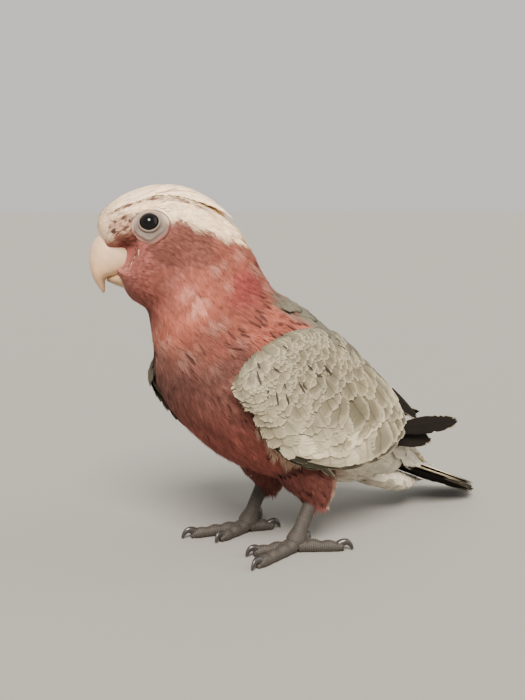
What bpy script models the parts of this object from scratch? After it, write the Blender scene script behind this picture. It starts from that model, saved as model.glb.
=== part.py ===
"""A life-size young galah standing on the floor: the solids of a still museum model.

The bird faces -X, its left side is -Y and the soles of its feet lie on z = 0.
Lengths below are in millimetres and are turned to metres where a mesh is made.
"""
import math

import bmesh
import bpy
import numpy as np

MM = 0.001
GAP = 0.3  # clearance between pieces that touch, in mm
ORIGIN_X = 36.0  # the middle of the bird's length, which becomes x = 0

# ---------------------------------------------------------------- the body's form
# Each station is a section of the body: its topmost point and its lowest point in the
# middle plane (x, z), and its half width. The sections run from the bill to the tail.
BODY_STATIONS = (
    # name        top x   top z   low x   low z  half width
    ("face",      -75.8, 143.6, -66.4, 121.8, 7.4),
    ("lores",     -74.0, 152.0, -62.4, 115.2, 14.2),
    ("brow",      -60.5, 159.0, -57.0, 111.5, 18.6),
    ("crown",     -38.0, 159.6, -54.8, 106.0, 21.6),
    ("nape",      -15.0, 141.5, -53.8,  97.0, 24.6),
    ("neck",       -3.5, 121.0, -52.3,  88.0, 28.5),
    ("breast",     14.5, 110.5, -46.5,  70.0, 34.0),
    ("belly",      39.0,  91.5, -25.0,  46.5, 35.0),
    ("thigh",      60.0,  69.0,   4.0,  31.0, 29.5),
    ("rump",       76.0,  50.0,  36.0,  23.5, 21.5),
    ("tail_root",  91.0,  35.0,  66.0,  17.5, 13.0),
)
# The folded wings lie on a wider form than the body, from the shoulder on.
WING_STATIONS = BODY_STATIONS[:5] + (
    ("neck",       -2.5, 122.5, -53.0,  87.0, 30.5),
    ("breast",     16.0, 112.5, -48.0,  68.0, 38.8),
    ("belly",      41.5,  94.5, -26.0,  43.5, 41.0),
    ("thigh",      65.0,  75.0,   4.0,  31.0, 37.5),
    ("rump",       84.0,  58.0,  34.0,  27.0, 30.0),
    ("tail_root",  99.0,  43.0,  63.0,  27.0, 21.0),
)
TAIL_ROOT = len(BODY_STATIONS) - 1
HEAD_END, NECK_END, TRUNK_END = 4.35, 5.45, 8.75  # where the head, neck and trunk part
PART_CUT = 0.018  # half of each cut between them, in stations
ROUNDNESS = 2.15  # 2 is an ellipse, more is squarer
WING_ROUNDNESS_ABOVE, WING_ROUNDNESS_BELOW = 2.25, 2.9
BILL_ROOM = 0.42  # how far the face draws in beside the bill, as a share of its width
BILL_ROOM_ENDS = 1.35  # the station behind which it doesn't

HEAD_TURN = math.radians(-26.0)  # the head looks to the bird's right
HEAD_AXIS_X = -31.2
TURN_STARTS, TURN_ENDS = 6.0, 4.0  # stations between which the neck takes up the turn

# ---------------------------------------------------------------- head, bill and eyes
UPPER_BILL = (
    ("root",  -68.0, 143.5, -56.5, 132.0, 7.6),
    ("cere",  -75.9, 141.6, -60.0, 128.6, 8.6),
    ("ridge", -79.1, 135.8, -64.5, 126.4, 8.5),
    ("bend",  -79.5, 129.6, -69.0, 125.2, 7.4),
    ("hook",  -78.0, 123.9, -72.6, 124.4, 4.9),
    ("point", -75.7, 120.0, -73.3, 120.9, 2.3),
    ("tip",   -74.2, 118.0, -73.5, 118.5, 0.6),
)
LOWER_BILL = (
    ("root",  -57.0, 130.6, -58.5, 115.9, 7.4),
    ("cheek", -63.0, 128.8, -63.6, 119.0, 7.6),
    ("scoop", -68.4, 127.2, -68.8, 121.2, 6.4),
    ("edge",  -72.8, 125.6, -72.4, 122.9, 3.4),
)
EYE_AT = (-56.3, 147.9)  # x and z on the side of the head, before it turns
EYE_RING_AT = (-56.2, 145.8)
EYE_RADIUS = 4.9
EYE_DEPTH = 3.3  # its centre below the feathers
EYE_OPENING = 3.75
EYE_RING_HALF = (8.5, 7.9)  # half length and half height of the bare skin
# Share of the way from the opening to the rim, and height over the feathers.
EYE_RING_PROFILE = ((0.0, 0.0), (0.14, 0.6), (0.4, 0.55), (0.8, 0.45), (1.0, 0.0))
EYE_RING_DEPTH = 2.6
CREST_FROM, CREST_TO = 1.2, 3.45
CREST_HALF_ANGLE = 27.0
CREST_THICK = 1.0
CREST_LIFT = 1.5  # of its free ends

# ---------------------------------------------------------------- wings
WING_TOP_ANGLE, WING_LOW_ANGLE = 36.0, 123.0
WING_FRONT, WING_REAR = 5.50, 8.66  # stations of the foremost and rearmost points
WING_FRONT_LEVEL, WING_REAR_LEVEL = 0.72, 0.60  # how far down those points lie
WING_CLEAR = 0.8  # the least room between a wing and the body
COVERTS_END = 0.66  # share of the wing's length that the coverts take
WING_THICK, WING_EDGE_THICK = 5.0, 1.0
SECONDARY_THICK = 1.3
PRIMARY_THICK = 0.9
RIGHT_WING_DROOP = 15.0  # degrees that its lower edge hangs further round

# Flight feathers that reach past the wing: name, root, tip and half width. They are given
# for the left wing and mirrored for the right one.
WING_TIP_FEATHERS = (
    ("primary_tip_1", (50.0, -27.0, 50.5), (118.0, -13.5, 45.0), 4.8),
    ("primary_tip_2", (48.0, -27.5, 47.0), (94.0, -17.0, 39.5), 4.6),
    ("tertial", (44.0, -20.5, 80.5), (87.0, -14.0, 50.5), 5.4),
)
WING_TIP_THICK = 0.8

# ---------------------------------------------------------------- tail
TAIL_ROOT_AT = (70.0, 35.6)
TAIL_SLOPE = math.radians(22.6)
TAIL_LENGTH = 84.0
RECTRIX_PAIRS = 6
RECTRIX_HALF_WIDTH = 6.4
RECTRIX_THICK = 0.5
RECTRIX_SPACING = 1.3  # between the feathers' middles at their roots
RECTRIX_SHORTER = 3.2  # each pair ends this much before the one above it
RECTRIX_ROLL = math.radians(11.0)  # an outer feather's free edge is the higher one
MIDDLE_PAIR_DEPTH = 0.85  # from the left one of the pair down to the right one
SECOND_PAIR_DEPTH = 2.5
NEXT_PAIR_DEPTH = 0.6
TAIL_SPREAD = math.radians(4.5)  # of the outermost feather
UNDERTAIL_COVERTS = (
    ("root", 62.0, 27.8, 50.0, 22.5, 14.5),
    ("full", 76.0, 24.8, 70.5, 15.0, 12.5),
    ("thin", 89.0, 19.4, 86.4, 10.8,  9.0),
    ("end",  99.5, 14.9, 98.9, 11.4,  3.0),
)
UPPERTAIL_COVERTS = (
    ("root",  72.0, 47.0,  66.0, 38.0, 13.0),
    ("full",  86.0, 38.6,  83.0, 32.0, 10.5),
    ("thin",  98.0, 29.6,  96.5, 26.4,  7.0),
    ("end",  106.0, 23.6, 105.4, 22.4,  2.4),
)

# ---------------------------------------------------------------- legs and feet
STANCE = 18.0  # from the middle plane to each foot
FOOT_X = 5.0
ANKLE = (19.5, 24.5)
THIGH_TOP = (4.0, 46.0)
THIGH_INSET = 4.5  # how much nearer the middle plane its top is than the foot
THIGH_BELOW_ANKLE = 6.5
THIGH_TOP_RADIUS, THIGH_END_RADIUS = 12.5, 5.2
THIGH_SWELL = 3.0  # of its radius, halfway down
THIGH_BOW = 4.5  # how far its middle bends back
TARSUS_RADIUS = 3.3
ANKLE_SWELL, FOOT_SWELL = 0.30, 0.45  # shares of the radius at the shank's two ends
TOE_RADIUS, TOE_TIP_RADIUS = 3.1, 2.3
SOLE_SHARE = 0.86  # a toe's centre stands this share of its radius above the floor
TOES = (
    # name, length, direction from straight ahead (outwards is positive), claw length
    ("toe_3", 27.5, 16.0, 9.0),
    ("toe_2", 19.5, -16.0, 8.0),
    ("toe_4", 22.5, 144.0, 8.5),
    ("toe_1", 13.5, -156.0, 7.5),
)
TOE_PAD_LENGTH, TOE_PAD_SWELL = 7.5, 0.07
HUB_RADIUS = 4.6
CLAW_RADIUS, CLAW_TIP_RADIUS = 2.03, 0.28
CLAW_ROOT_HEIGHT = 2.9
CLAW_RISE, CLAW_FALL = 1.6, 0.42  # it leaves the toe upwards, and then curves down
CLAW_BEND = math.radians(78)

COLOURS = {
    "crown": ((0.86, 0.72, 0.66), 0.85, 0.0),
    "rose": ((0.62, 0.24, 0.22), 0.85, 0.0),
    "wing": ((0.52, 0.51, 0.48), 0.8, 0.0),
    "dark": ((0.09, 0.085, 0.08), 0.7, 0.0),
    "rump": ((0.66, 0.63, 0.58), 0.85, 0.0),
    "bill": ((0.74, 0.62, 0.50), 0.4, 0.0),
    "eye": ((0.01, 0.008, 0.008), 0.06, 0.0),
    "bare_skin": ((0.58, 0.52, 0.51), 0.55, 0.0),
    "foot": ((0.24, 0.21, 0.19), 0.7, 0.0),
    "claw": ((0.07, 0.06, 0.055), 0.4, 0.0),
}


# ================================================================ curves and surfaces
def natural_spline(values):
    """A smooth curve through values at 0, 1, 2 ..., as a function of numpy arrays."""
    y = np.asarray(values, float)
    n = len(y)
    system = np.eye(n)
    slopes = np.zeros(n)
    for i in range(1, n - 1):
        system[i, i - 1 : i + 2] = 1, 4, 1
        slopes[i] = 6 * (y[i - 1] - 2 * y[i] + y[i + 1])
    bend = np.linalg.solve(system, slopes)

    def at(s):
        s = np.asarray(s, float)
        i = np.clip(np.floor(s).astype(int), 0, n - 2)
        u = s - i
        v = 1 - u
        return (
            v * y[i] + u * y[i + 1]
            + ((v**3 - v) * bend[i] + (u**3 - u) * bend[i + 1]) / 6
        )

    return at


def smooth_step(edge0, edge1, x):
    t = np.clip((np.asarray(x, float) - edge0) / (edge1 - edge0), 0, 1)
    return t * t * (3 - 2 * t)


def turn_about_z(points, angle, about_x):
    """Points turned about the upright line through (about_x, 0)."""
    x, y, z = points[..., 0] - about_x, points[..., 1], points[..., 2]
    c, s = np.cos(angle), np.sin(angle)
    return np.stack([about_x + c * x - s * y, s * x + c * y, z], -1)


def turn_head(points):
    return turn_about_z(points, HEAD_TURN, HEAD_AXIS_X)


class Loft:
    """A surface through the stations: angle 0 is the top, 90 degrees the left side (-Y)."""

    def __init__(self, stations, above=ROUNDNESS, below=ROUNDNESS, face=0.0, turns=False):
        columns = np.array([row[1:] for row in stations], float).T
        self.top_x, self.top_z, self.low_x, self.low_z, self.half = map(
            natural_spline, columns
        )
        self.above, self.below = above, below
        self.face, self.turns = face, turns

    def point(self, s, angle, grow=0.0):
        """The section's middle plus its rounded oval, with the neck's turn where it has one."""
        s, angle = np.broadcast_arrays(np.asarray(s, float), np.asarray(angle, float))
        top = np.stack([self.top_x(s), self.top_z(s)], -1)
        low = np.stack([self.low_x(s), self.low_z(s)], -1)
        middle, upward = (top + low) / 2, (top - low) / 2
        height = np.linalg.norm(upward, axis=-1)
        power = 2 / np.where(np.cos(angle) > 0, self.above, self.below)
        up = np.sign(np.cos(angle)) * np.abs(np.cos(angle)) ** power
        side = np.sign(np.sin(angle)) * np.abs(np.sin(angle)) ** power
        xz = middle + upward * (up * (height + grow) / height)[..., None]
        room = self.face * (1 - smooth_step(0, BILL_ROOM_ENDS, s)) * np.sin(angle) ** 6
        y = -side * (np.maximum(self.half(s), 0.3) + grow) * (1 - room)
        points = np.stack([xz[..., 0], y, xz[..., 1]], -1)
        if self.turns:
            turn = HEAD_TURN * smooth_step(TURN_STARTS, TURN_ENDS, s)
            points = turn_about_z(points, turn, HEAD_AXIS_X)
        return points

    def normal(self, s, angle):
        """The outward normal, from small steps along and around."""
        step = 0.01
        along = self.point(s + step, angle) - self.point(s - step, angle)
        around = self.point(s, angle + step) - self.point(s, angle - step)
        normal = np.cross(around, along)
        return normal / np.linalg.norm(normal, axis=-1, keepdims=True)

    def spot(self, x, z, side):
        """The place (station, angle) on one side of the form that has this x and z."""
        place = np.array([1.7, math.radians(70)])
        for _ in range(12):
            here = self.point(*place)[[0, 2]]
            step = 1e-4
            slope = np.array(
                [
                    (self.point(place[0] + step, place[1])[[0, 2]] - here) / step,
                    (self.point(place[0], place[1] + step)[[0, 2]] - here) / step,
                ]
            ).T
            place = place + np.linalg.solve(slope, np.array([x, z]) - here)
        return place[0], place[1] * -side

    def around_spot(self, spot, forward, up, height):
        """Points on the form at these distances forward and up from a spot of its surface."""
        s, angle = spot
        step = 1e-3
        centre = self.point(s, angle)
        by_s = (self.point(s + step, angle) - centre) / step
        by_angle = (self.point(s, angle + step) - centre) / step
        out = self.normal(s, angle)
        ahead = np.array([-1.0, 0, 0])
        ahead = ahead - out * (ahead @ out)
        ahead = ahead / np.linalg.norm(ahead)
        above = np.cross(out, ahead)
        above = above * np.sign(above[2])
        shift = np.asarray(forward)[..., None] * ahead + np.asarray(up)[..., None] * above
        moves = shift @ np.linalg.pinv(np.array([by_s, by_angle]))
        s, angle = s + moves[..., 0], angle + moves[..., 1]
        return self.point(s, angle) + self.normal(s, angle) * np.asarray(height)[..., None]


BODY = Loft(BODY_STATIONS, face=BILL_ROOM, turns=True)
HEAD = Loft(BODY_STATIONS, face=BILL_ROOM)
TRUNK = Loft(BODY_STATIONS)
WING_FORM = Loft(WING_STATIONS, WING_ROUNDNESS_ABOVE, WING_ROUNDNESS_BELOW)


# ================================================================ meshes
def material(name):
    found = bpy.data.materials.get(name)
    if found:
        return found
    colour, roughness, metallic = COLOURS[name]
    made = bpy.data.materials.new(name)
    made.use_nodes = True
    shader = made.node_tree.nodes["Principled BSDF"]
    shader.inputs["Base Color"].default_value = (*colour, 1.0)
    shader.inputs["Roughness"].default_value = roughness
    shader.inputs["Metallic"].default_value = metallic
    return made


def add_object(name, mesh, finish, collection):
    obj = bpy.data.objects.new(name, mesh)
    obj.parent = bpy.data.objects["galah"]
    mesh.materials.append(material(finish))
    collection.objects.link(obj)
    return obj


def mesh_from(name, points, faces):
    """A mesh in metres with its faces turned outwards."""
    mesh = bpy.data.meshes.new(name)
    mesh.from_pydata((np.asarray(points) * MM).tolist(), [], faces)
    form = bmesh.new()
    form.from_mesh(mesh)
    bmesh.ops.recalc_face_normals(form, faces=form.faces)
    if form.calc_volume(signed=True) < 0:
        bmesh.ops.reverse_faces(form, faces=form.faces)
    form.to_mesh(mesh)
    form.free()
    mesh.shade_smooth()
    mesh.set_sharp_from_angle(angle=math.radians(50))
    return mesh


def lofted(name, rings):
    """A closed skin over rings of points, (rings, around, 3), with a flat face at each end."""
    count, around = rings.shape[:2]
    faces = [
        (i * around + j, i * around + (j + 1) % around,
         (i + 1) * around + (j + 1) % around, (i + 1) * around + j)
        for i in range(count - 1)
        for j in range(around)
    ]
    faces.append(tuple(range(around)))
    faces.append(tuple(range((count - 1) * around, count * around)))
    return mesh_from(name, rings.reshape(-1, 3), faces)


def plate(name, outer, inner):
    """A closed plate between two grids of points of the same shape, (rows, columns, 3)."""
    rows, columns = outer.shape[:2]
    size = rows * columns

    def quads(base):
        return [
            (base + i * columns + j, base + i * columns + j + 1,
             base + (i + 1) * columns + j + 1, base + (i + 1) * columns + j)
            for i in range(rows - 1)
            for j in range(columns - 1)
        ]

    rim = (
        [j for j in range(columns)]
        + [i * columns + columns - 1 for i in range(1, rows)]
        + [(rows - 1) * columns + j for j in range(columns - 2, -1, -1)]
        + [i * columns for i in range(rows - 2, 0, -1)]
    )
    walls = [
        (a, b, b + size, a + size) for a, b in zip(rim, rim[1:] + rim[:1], strict=True)
    ]
    faces = quads(0) + quads(size) + walls
    points = np.concatenate([outer.reshape(-1, 3), inner.reshape(-1, 3)])
    return mesh_from(name, points, faces)


def add_helper(name, mesh, cutters):
    """A shape that only cuts others."""
    helper = bpy.data.objects.new(name, mesh)
    helper.parent = bpy.data.objects["galah"]
    helper.hide_render = True
    helper.display_type = "WIRE"
    cutters.objects.link(helper)
    return helper


def grown_copy(obj, gap, cutters):
    """A helper: the object's finished mesh with every point moved out along its normal."""
    graph = bpy.context.evaluated_depsgraph_get()
    mesh = bpy.data.meshes.new_from_object(obj.evaluated_get(graph))
    form = bmesh.new()
    form.from_mesh(mesh)
    bmesh.ops.remove_doubles(form, verts=form.verts, dist=0.01 * MM)
    form.normal_update()
    moved = [v.co + v.normal * gap * MM for v in form.verts]
    for vertex, place in zip(form.verts, moved, strict=True):
        vertex.co = place
    form.to_mesh(mesh)
    form.free()
    helper = add_helper(f"{obj.name}_grown", mesh, cutters)
    helper.matrix_basis = obj.matrix_basis.copy()
    return helper


def cut(obj, *helpers):
    """Takes the helpers' room out of obj."""
    for helper in helpers:
        boolean = obj.modifiers.new(f"clear_of_{helper.name}", "BOOLEAN")
        boolean.operation = "DIFFERENCE"
        boolean.solver = "EXACT"
        boolean.object = helper
    bpy.context.view_layer.update()


# ================================================================ the parts
def body_rings(first, last, rows, around, grow=0.0):
    s = np.linspace(first, last, rows)[:, None]
    angle = np.linspace(0, 2 * np.pi, around, endpoint=False)[None, :]
    return BODY.point(s, angle, grow)


def station_loft(stations, rows, around, head=False):
    """A closed loft of its own station table; a head piece turns with the head."""
    loft = Loft(stations)
    s = np.linspace(0, len(stations) - 1, rows)[:, None]
    angle = np.linspace(0, 2 * np.pi, around, endpoint=False)[None, :]
    rings = loft.point(s, angle)
    return turn_head(rings) if head else rings


def make_flesh(parts):
    head = add_object(
        "head", lofted("head", body_rings(0, HEAD_END - PART_CUT, 12, 24)), "crown", parts
    )
    neck = add_object(
        "neck",
        lofted("neck", body_rings(HEAD_END + PART_CUT, NECK_END - PART_CUT, 5, 24)),
        "rose", parts,
    )
    trunk = add_object(
        "trunk",
        lofted("trunk", body_rings(NECK_END + PART_CUT, TRUNK_END - PART_CUT, 10, 24)),
        "rose", parts,
    )
    rump = add_object(
        "rump", lofted("rump", body_rings(TRUNK_END + PART_CUT, TAIL_ROOT, 5, 24)),
        "rump", parts,
    )
    return head, neck, trunk, rump


def make_bill(parts, cutters, head):
    upper = add_object(
        "bill_upper", lofted("bill_upper", station_loft(UPPER_BILL, 11, 14, True)),
        "bill", parts,
    )
    lower = add_object(
        "bill_lower", lofted("bill_lower", station_loft(LOWER_BILL, 6, 12, True)),
        "bill", parts,
    )
    upper_room, lower_room = grown_copy(upper, GAP, cutters), grown_copy(lower, GAP, cutters)
    cut(lower, upper_room)
    cut(head, upper_room, lower_room)


def make_eye(side, sign, parts, cutters, head):
    """The eyeball, and the ring of bare skin round it, swept from a profile."""
    spot = HEAD.spot(*EYE_AT, sign)
    centre = turn_head(HEAD.point(*spot) - HEAD.normal(*spot) * EYE_DEPTH)
    ball = bpy.data.meshes.new(f"eye_{side}")
    form = bmesh.new()
    bmesh.ops.create_uvsphere(form, u_segments=12, v_segments=8, radius=EYE_RADIUS * MM)
    form.to_mesh(ball)
    form.free()
    ball.shade_smooth()
    eye = add_object(f"eye_{side}", ball, "eye", parts)
    eye.location = centre * MM
    eye.rotation_euler = (math.radians(90), 0, HEAD_TURN)

    around = 16
    turn = np.linspace(0, 2 * np.pi, around, endpoint=False)
    circle = np.stack([np.cos(turn), np.sin(turn)], -1)
    ring_spot = HEAD.spot(*EYE_RING_AT, sign)
    offset = np.array([EYE_RING_AT[0] - EYE_AT[0], EYE_AT[1] - EYE_RING_AT[1]])
    opening, rim = circle * EYE_OPENING + offset, circle * np.array(EYE_RING_HALF)
    back = ((1.0, -EYE_RING_DEPTH), (0.0, -EYE_RING_DEPTH))
    rings = []
    for share, height in EYE_RING_PROFILE + back:
        place = opening * (1 - share) + rim * share
        rings.append(HEAD.around_spot(ring_spot, place[:, 0], place[:, 1], height))
    count = len(rings)
    faces = [
        (i * around + j, i * around + (j + 1) % around,
         ((i + 1) % count) * around + (j + 1) % around, ((i + 1) % count) * around + j)
        for i in range(count)
        for j in range(around)
    ]
    mesh = mesh_from(f"eye_ring_{side}", turn_head(np.concatenate(rings)), faces)
    ring = add_object(f"eye_ring_{side}", mesh, "bare_skin", parts)
    eye_room = grown_copy(eye, GAP, cutters)
    cut(ring, eye_room)
    socket = [
        HEAD.around_spot(ring_spot, wide[:, 0], wide[:, 1], height)
        for wide, height in (
            (rim + circle * GAP, 3.0),
            (rim + circle * GAP, -EYE_RING_DEPTH - GAP),
        )
    ]
    socket = add_helper(
        f"eye_socket_{side}", lofted(f"eye_socket_{side}", turn_head(np.array(socket))), cutters
    )
    cut(head, socket, eye_room)


def make_crest(parts):
    """Long crown feathers laid back over the head, with their ends a little raised."""
    s = np.linspace(CREST_FROM, CREST_TO, 9)[:, None]
    across = np.linspace(-1, 1, 7)[None, :]
    share = (s - CREST_FROM) / (CREST_TO - CREST_FROM)
    outline = np.sqrt(np.clip(1 - np.abs(2 * share - 1) ** 3, 0.06, 1))
    angle = across * np.radians(CREST_HALF_ANGLE) * outline
    form = BODY.point(s, angle)
    normal = BODY.normal(np.broadcast_to(s, angle.shape), angle)
    thick = 0.6 + CREST_THICK * (1 - across**2) * np.sin(np.pi * share) ** 0.7
    inner = form + normal * (2 * GAP + CREST_LIFT * share**3)[..., None]
    outer = inner + normal * thick[..., None]
    add_object("crest", plate("crest", outer, inner), "crown", parts)


def wing_span(down, droop):
    """The wing's first and last station, and its angle round the body, at each level.

    droop is how many degrees lower the wing's lower edge hangs there.
    """
    from_front, from_rear = down - WING_FRONT_LEVEL, down - WING_REAR_LEVEL
    front = WING_FRONT + np.where(from_front < 0, 2.1, 3.4) * from_front**2
    rear = WING_REAR - np.where(from_rear < 0, 4.6, 8.5) * np.abs(from_rear) ** 2.25
    low = WING_LOW_ANGLE + droop
    return front, rear, np.radians(WING_TOP_ANGLE + down * (low - WING_TOP_ANGLE))


def wing_surfaces(along, down, sign, depth, thick):
    """The outer and inner surfaces of a piece of the left (-1) or right (+1) wing.

    along runs from the wrist (0) to the rear edge (1), and down from the back (0) to the
    lower edge (1). depth is how far the piece lies under the wing's outer form. Both
    surfaces lie on straight lines from the body's surface out to that form.
    """
    front, rear, angle = wing_span(down, RIGHT_WING_DROOP * (sign > 0) * (1 - along))
    s = front + along * (rear - front)
    body, form = TRUNK.point(s, angle), WING_FORM.point(s, angle)
    reach = np.linalg.norm(form - body, axis=-1)
    edge = np.clip(np.minimum(along / 0.13, down / 0.16), 0, 1)
    edge = np.sqrt(1 - (1 - edge) ** 2)
    least = WING_CLEAR + WING_EDGE_THICK
    outer = least + np.maximum(reach - least, 0) * edge - depth
    inner = np.maximum(outer - thick, WING_CLEAR)
    outer = np.maximum(outer, inner + 0.6)
    direction = (form - body) / reach[..., None]
    mirror = np.array([1.0, -sign, 1.0])
    return (
        (body + direction * outer[..., None]) * mirror,
        (body + direction * inner[..., None]) * mirror,
    )


def wing_piece(name, sign, along, down, depth, thick, finish, parts):
    outer, inner = wing_surfaces(along, down, sign, depth, thick)
    return add_object(name, plate(name, outer, inner), finish, parts)


def make_wing(side, sign, parts):
    """Coverts and secondaries end to end, and the dark primaries that show under them."""
    levels = 1 - (1 - np.linspace(0, 1, 9)) ** 1.4
    a, d = np.meshgrid(np.linspace(0, COVERTS_END - 0.004, 8), levels, indexing="ij")
    fullness = np.sin(np.pi * np.clip(d * 1.05, 0, 1)) ** 0.8 * (1 - 0.75 * a / COVERTS_END)
    low_edge = 1.6 * np.clip((d - 0.88) / 0.12, 0, 1) ** 2
    wing_piece(
        f"wing_coverts_{side}", sign, a, d, low_edge,
        WING_EDGE_THICK + (WING_THICK - WING_EDGE_THICK) * fullness, "wing", parts,
    )
    a, d = np.meshgrid(np.linspace(COVERTS_END + 0.004, 1, 5), levels, indexing="ij")
    low_edge = 1.0 * np.clip((d - 0.85) / 0.15, 0, 1) ** 2
    wing_piece(
        f"wing_secondaries_{side}", sign, a, d, 0.5 + low_edge,
        np.full(a.shape, SECONDARY_THICK), "wing", parts,
    )
    a, share = np.meshgrid(np.linspace(0.30, 1.06, 9), np.linspace(0, 1, 5), indexing="ij")
    inside = 0.80 - 0.50 * smooth_step(0.55, 1.0, a)
    d = inside + (1.07 - inside) * share
    wing_piece(
        f"wing_primaries_{side}", sign, a, d, 4.4 - 0.9 * smooth_step(0.6, 1.0, a),
        np.full(a.shape, PRIMARY_THICK), "dark", parts,
    )


def blade(name, root, heading, upward, length, half_width, thick, parts, side=0):
    """A flat dark feather: narrow at its root, widest near three quarters, with a round end.

    With a side of -1 or +1 the feather stops at the bird's middle plane.
    """
    heading = heading / np.linalg.norm(heading)
    upward = upward - heading * (upward @ heading)
    upward = upward / np.linalg.norm(upward)
    outward = np.cross(heading, upward)
    outward = outward * np.sign(outward[1] * (side or 1))
    t = 1 - (1 - np.linspace(0, 1, 6)) ** 1.35
    width = half_width * (0.45 + 0.55 * smooth_step(0, 0.6, t)) * np.sqrt(
        np.clip(1.02 - t**7, 0.04, 1)
    )
    middle = root + heading * (t * length)[:, None]
    inner_width = width
    if side:
        inner_width = np.minimum(width, (middle[:, 1] * side - GAP) / abs(outward[1]))
    across = np.stack([-inner_width, np.zeros_like(t), width], 1)
    outer = middle[:, None] + outward * across[..., None] + upward * thick / 2
    return add_object(name, plate(name, outer, outer - upward * thick), "dark", parts)


def make_wing_tip(side, sign, parts, room):
    """The dark flight feathers that show behind the folded wing."""
    mirror = np.array([1.0, -sign, 1.0])
    for name, root, tip, half_width in WING_TIP_FEATHERS:
        root, tip = np.array(root) * mirror, np.array(tip) * mirror
        upward = np.array([0.2, sign * 0.75, 0.6])
        length = np.linalg.norm(tip - root)
        feather = blade(f"{name}_{side}", root, tip - root, upward, length, half_width,
                        WING_TIP_THICK, parts)
        cut(feather, *room)


def make_tail(parts, room):
    """Twelve tail feathers, the middle pair on top and each next pair tucked under it."""
    heading = np.array([math.cos(TAIL_SLOPE), 0, -math.sin(TAIL_SLOPE)])
    upward = np.array([math.sin(TAIL_SLOPE), 0, math.cos(TAIL_SLOPE)])
    start = np.array([TAIL_ROOT_AT[0], 0, TAIL_ROOT_AT[1]])
    for pair in range(RECTRIX_PAIRS):
        spread = TAIL_SPREAD * (pair + 0.35) / (RECTRIX_PAIRS - 0.65)
        for side, sign in (("left", -1), ("right", 1)):
            outward = np.array([0, sign, 0])
            depth = MIDDLE_PAIR_DEPTH * (sign > 0)
            roll = 0.0
            if pair:
                depth = SECOND_PAIR_DEPTH + NEXT_PAIR_DEPTH * (pair - 1)
                roll = RECTRIX_ROLL
            feather = blade(
                f"tail_feather_{side}_{pair + 1}",
                start - upward * depth + outward * RECTRIX_SPACING * (pair + 0.5),
                heading * math.cos(spread) + outward * math.sin(spread),
                upward * math.cos(roll) - outward * math.sin(roll),
                TAIL_LENGTH - RECTRIX_SHORTER * pair,
                RECTRIX_HALF_WIDTH, RECTRIX_THICK, parts, sign if pair else 0,
            )
            cut(feather, *room)


def make_tail_coverts(parts, room):
    tables = {"undertail_coverts": UNDERTAIL_COVERTS, "uppertail_coverts": UPPERTAIL_COVERTS}
    for name, stations in tables.items():
        coverts = add_object(name, lofted(name, station_loft(stations, 8, 16)), "rump", parts)
        cut(coverts, *room)


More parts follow.
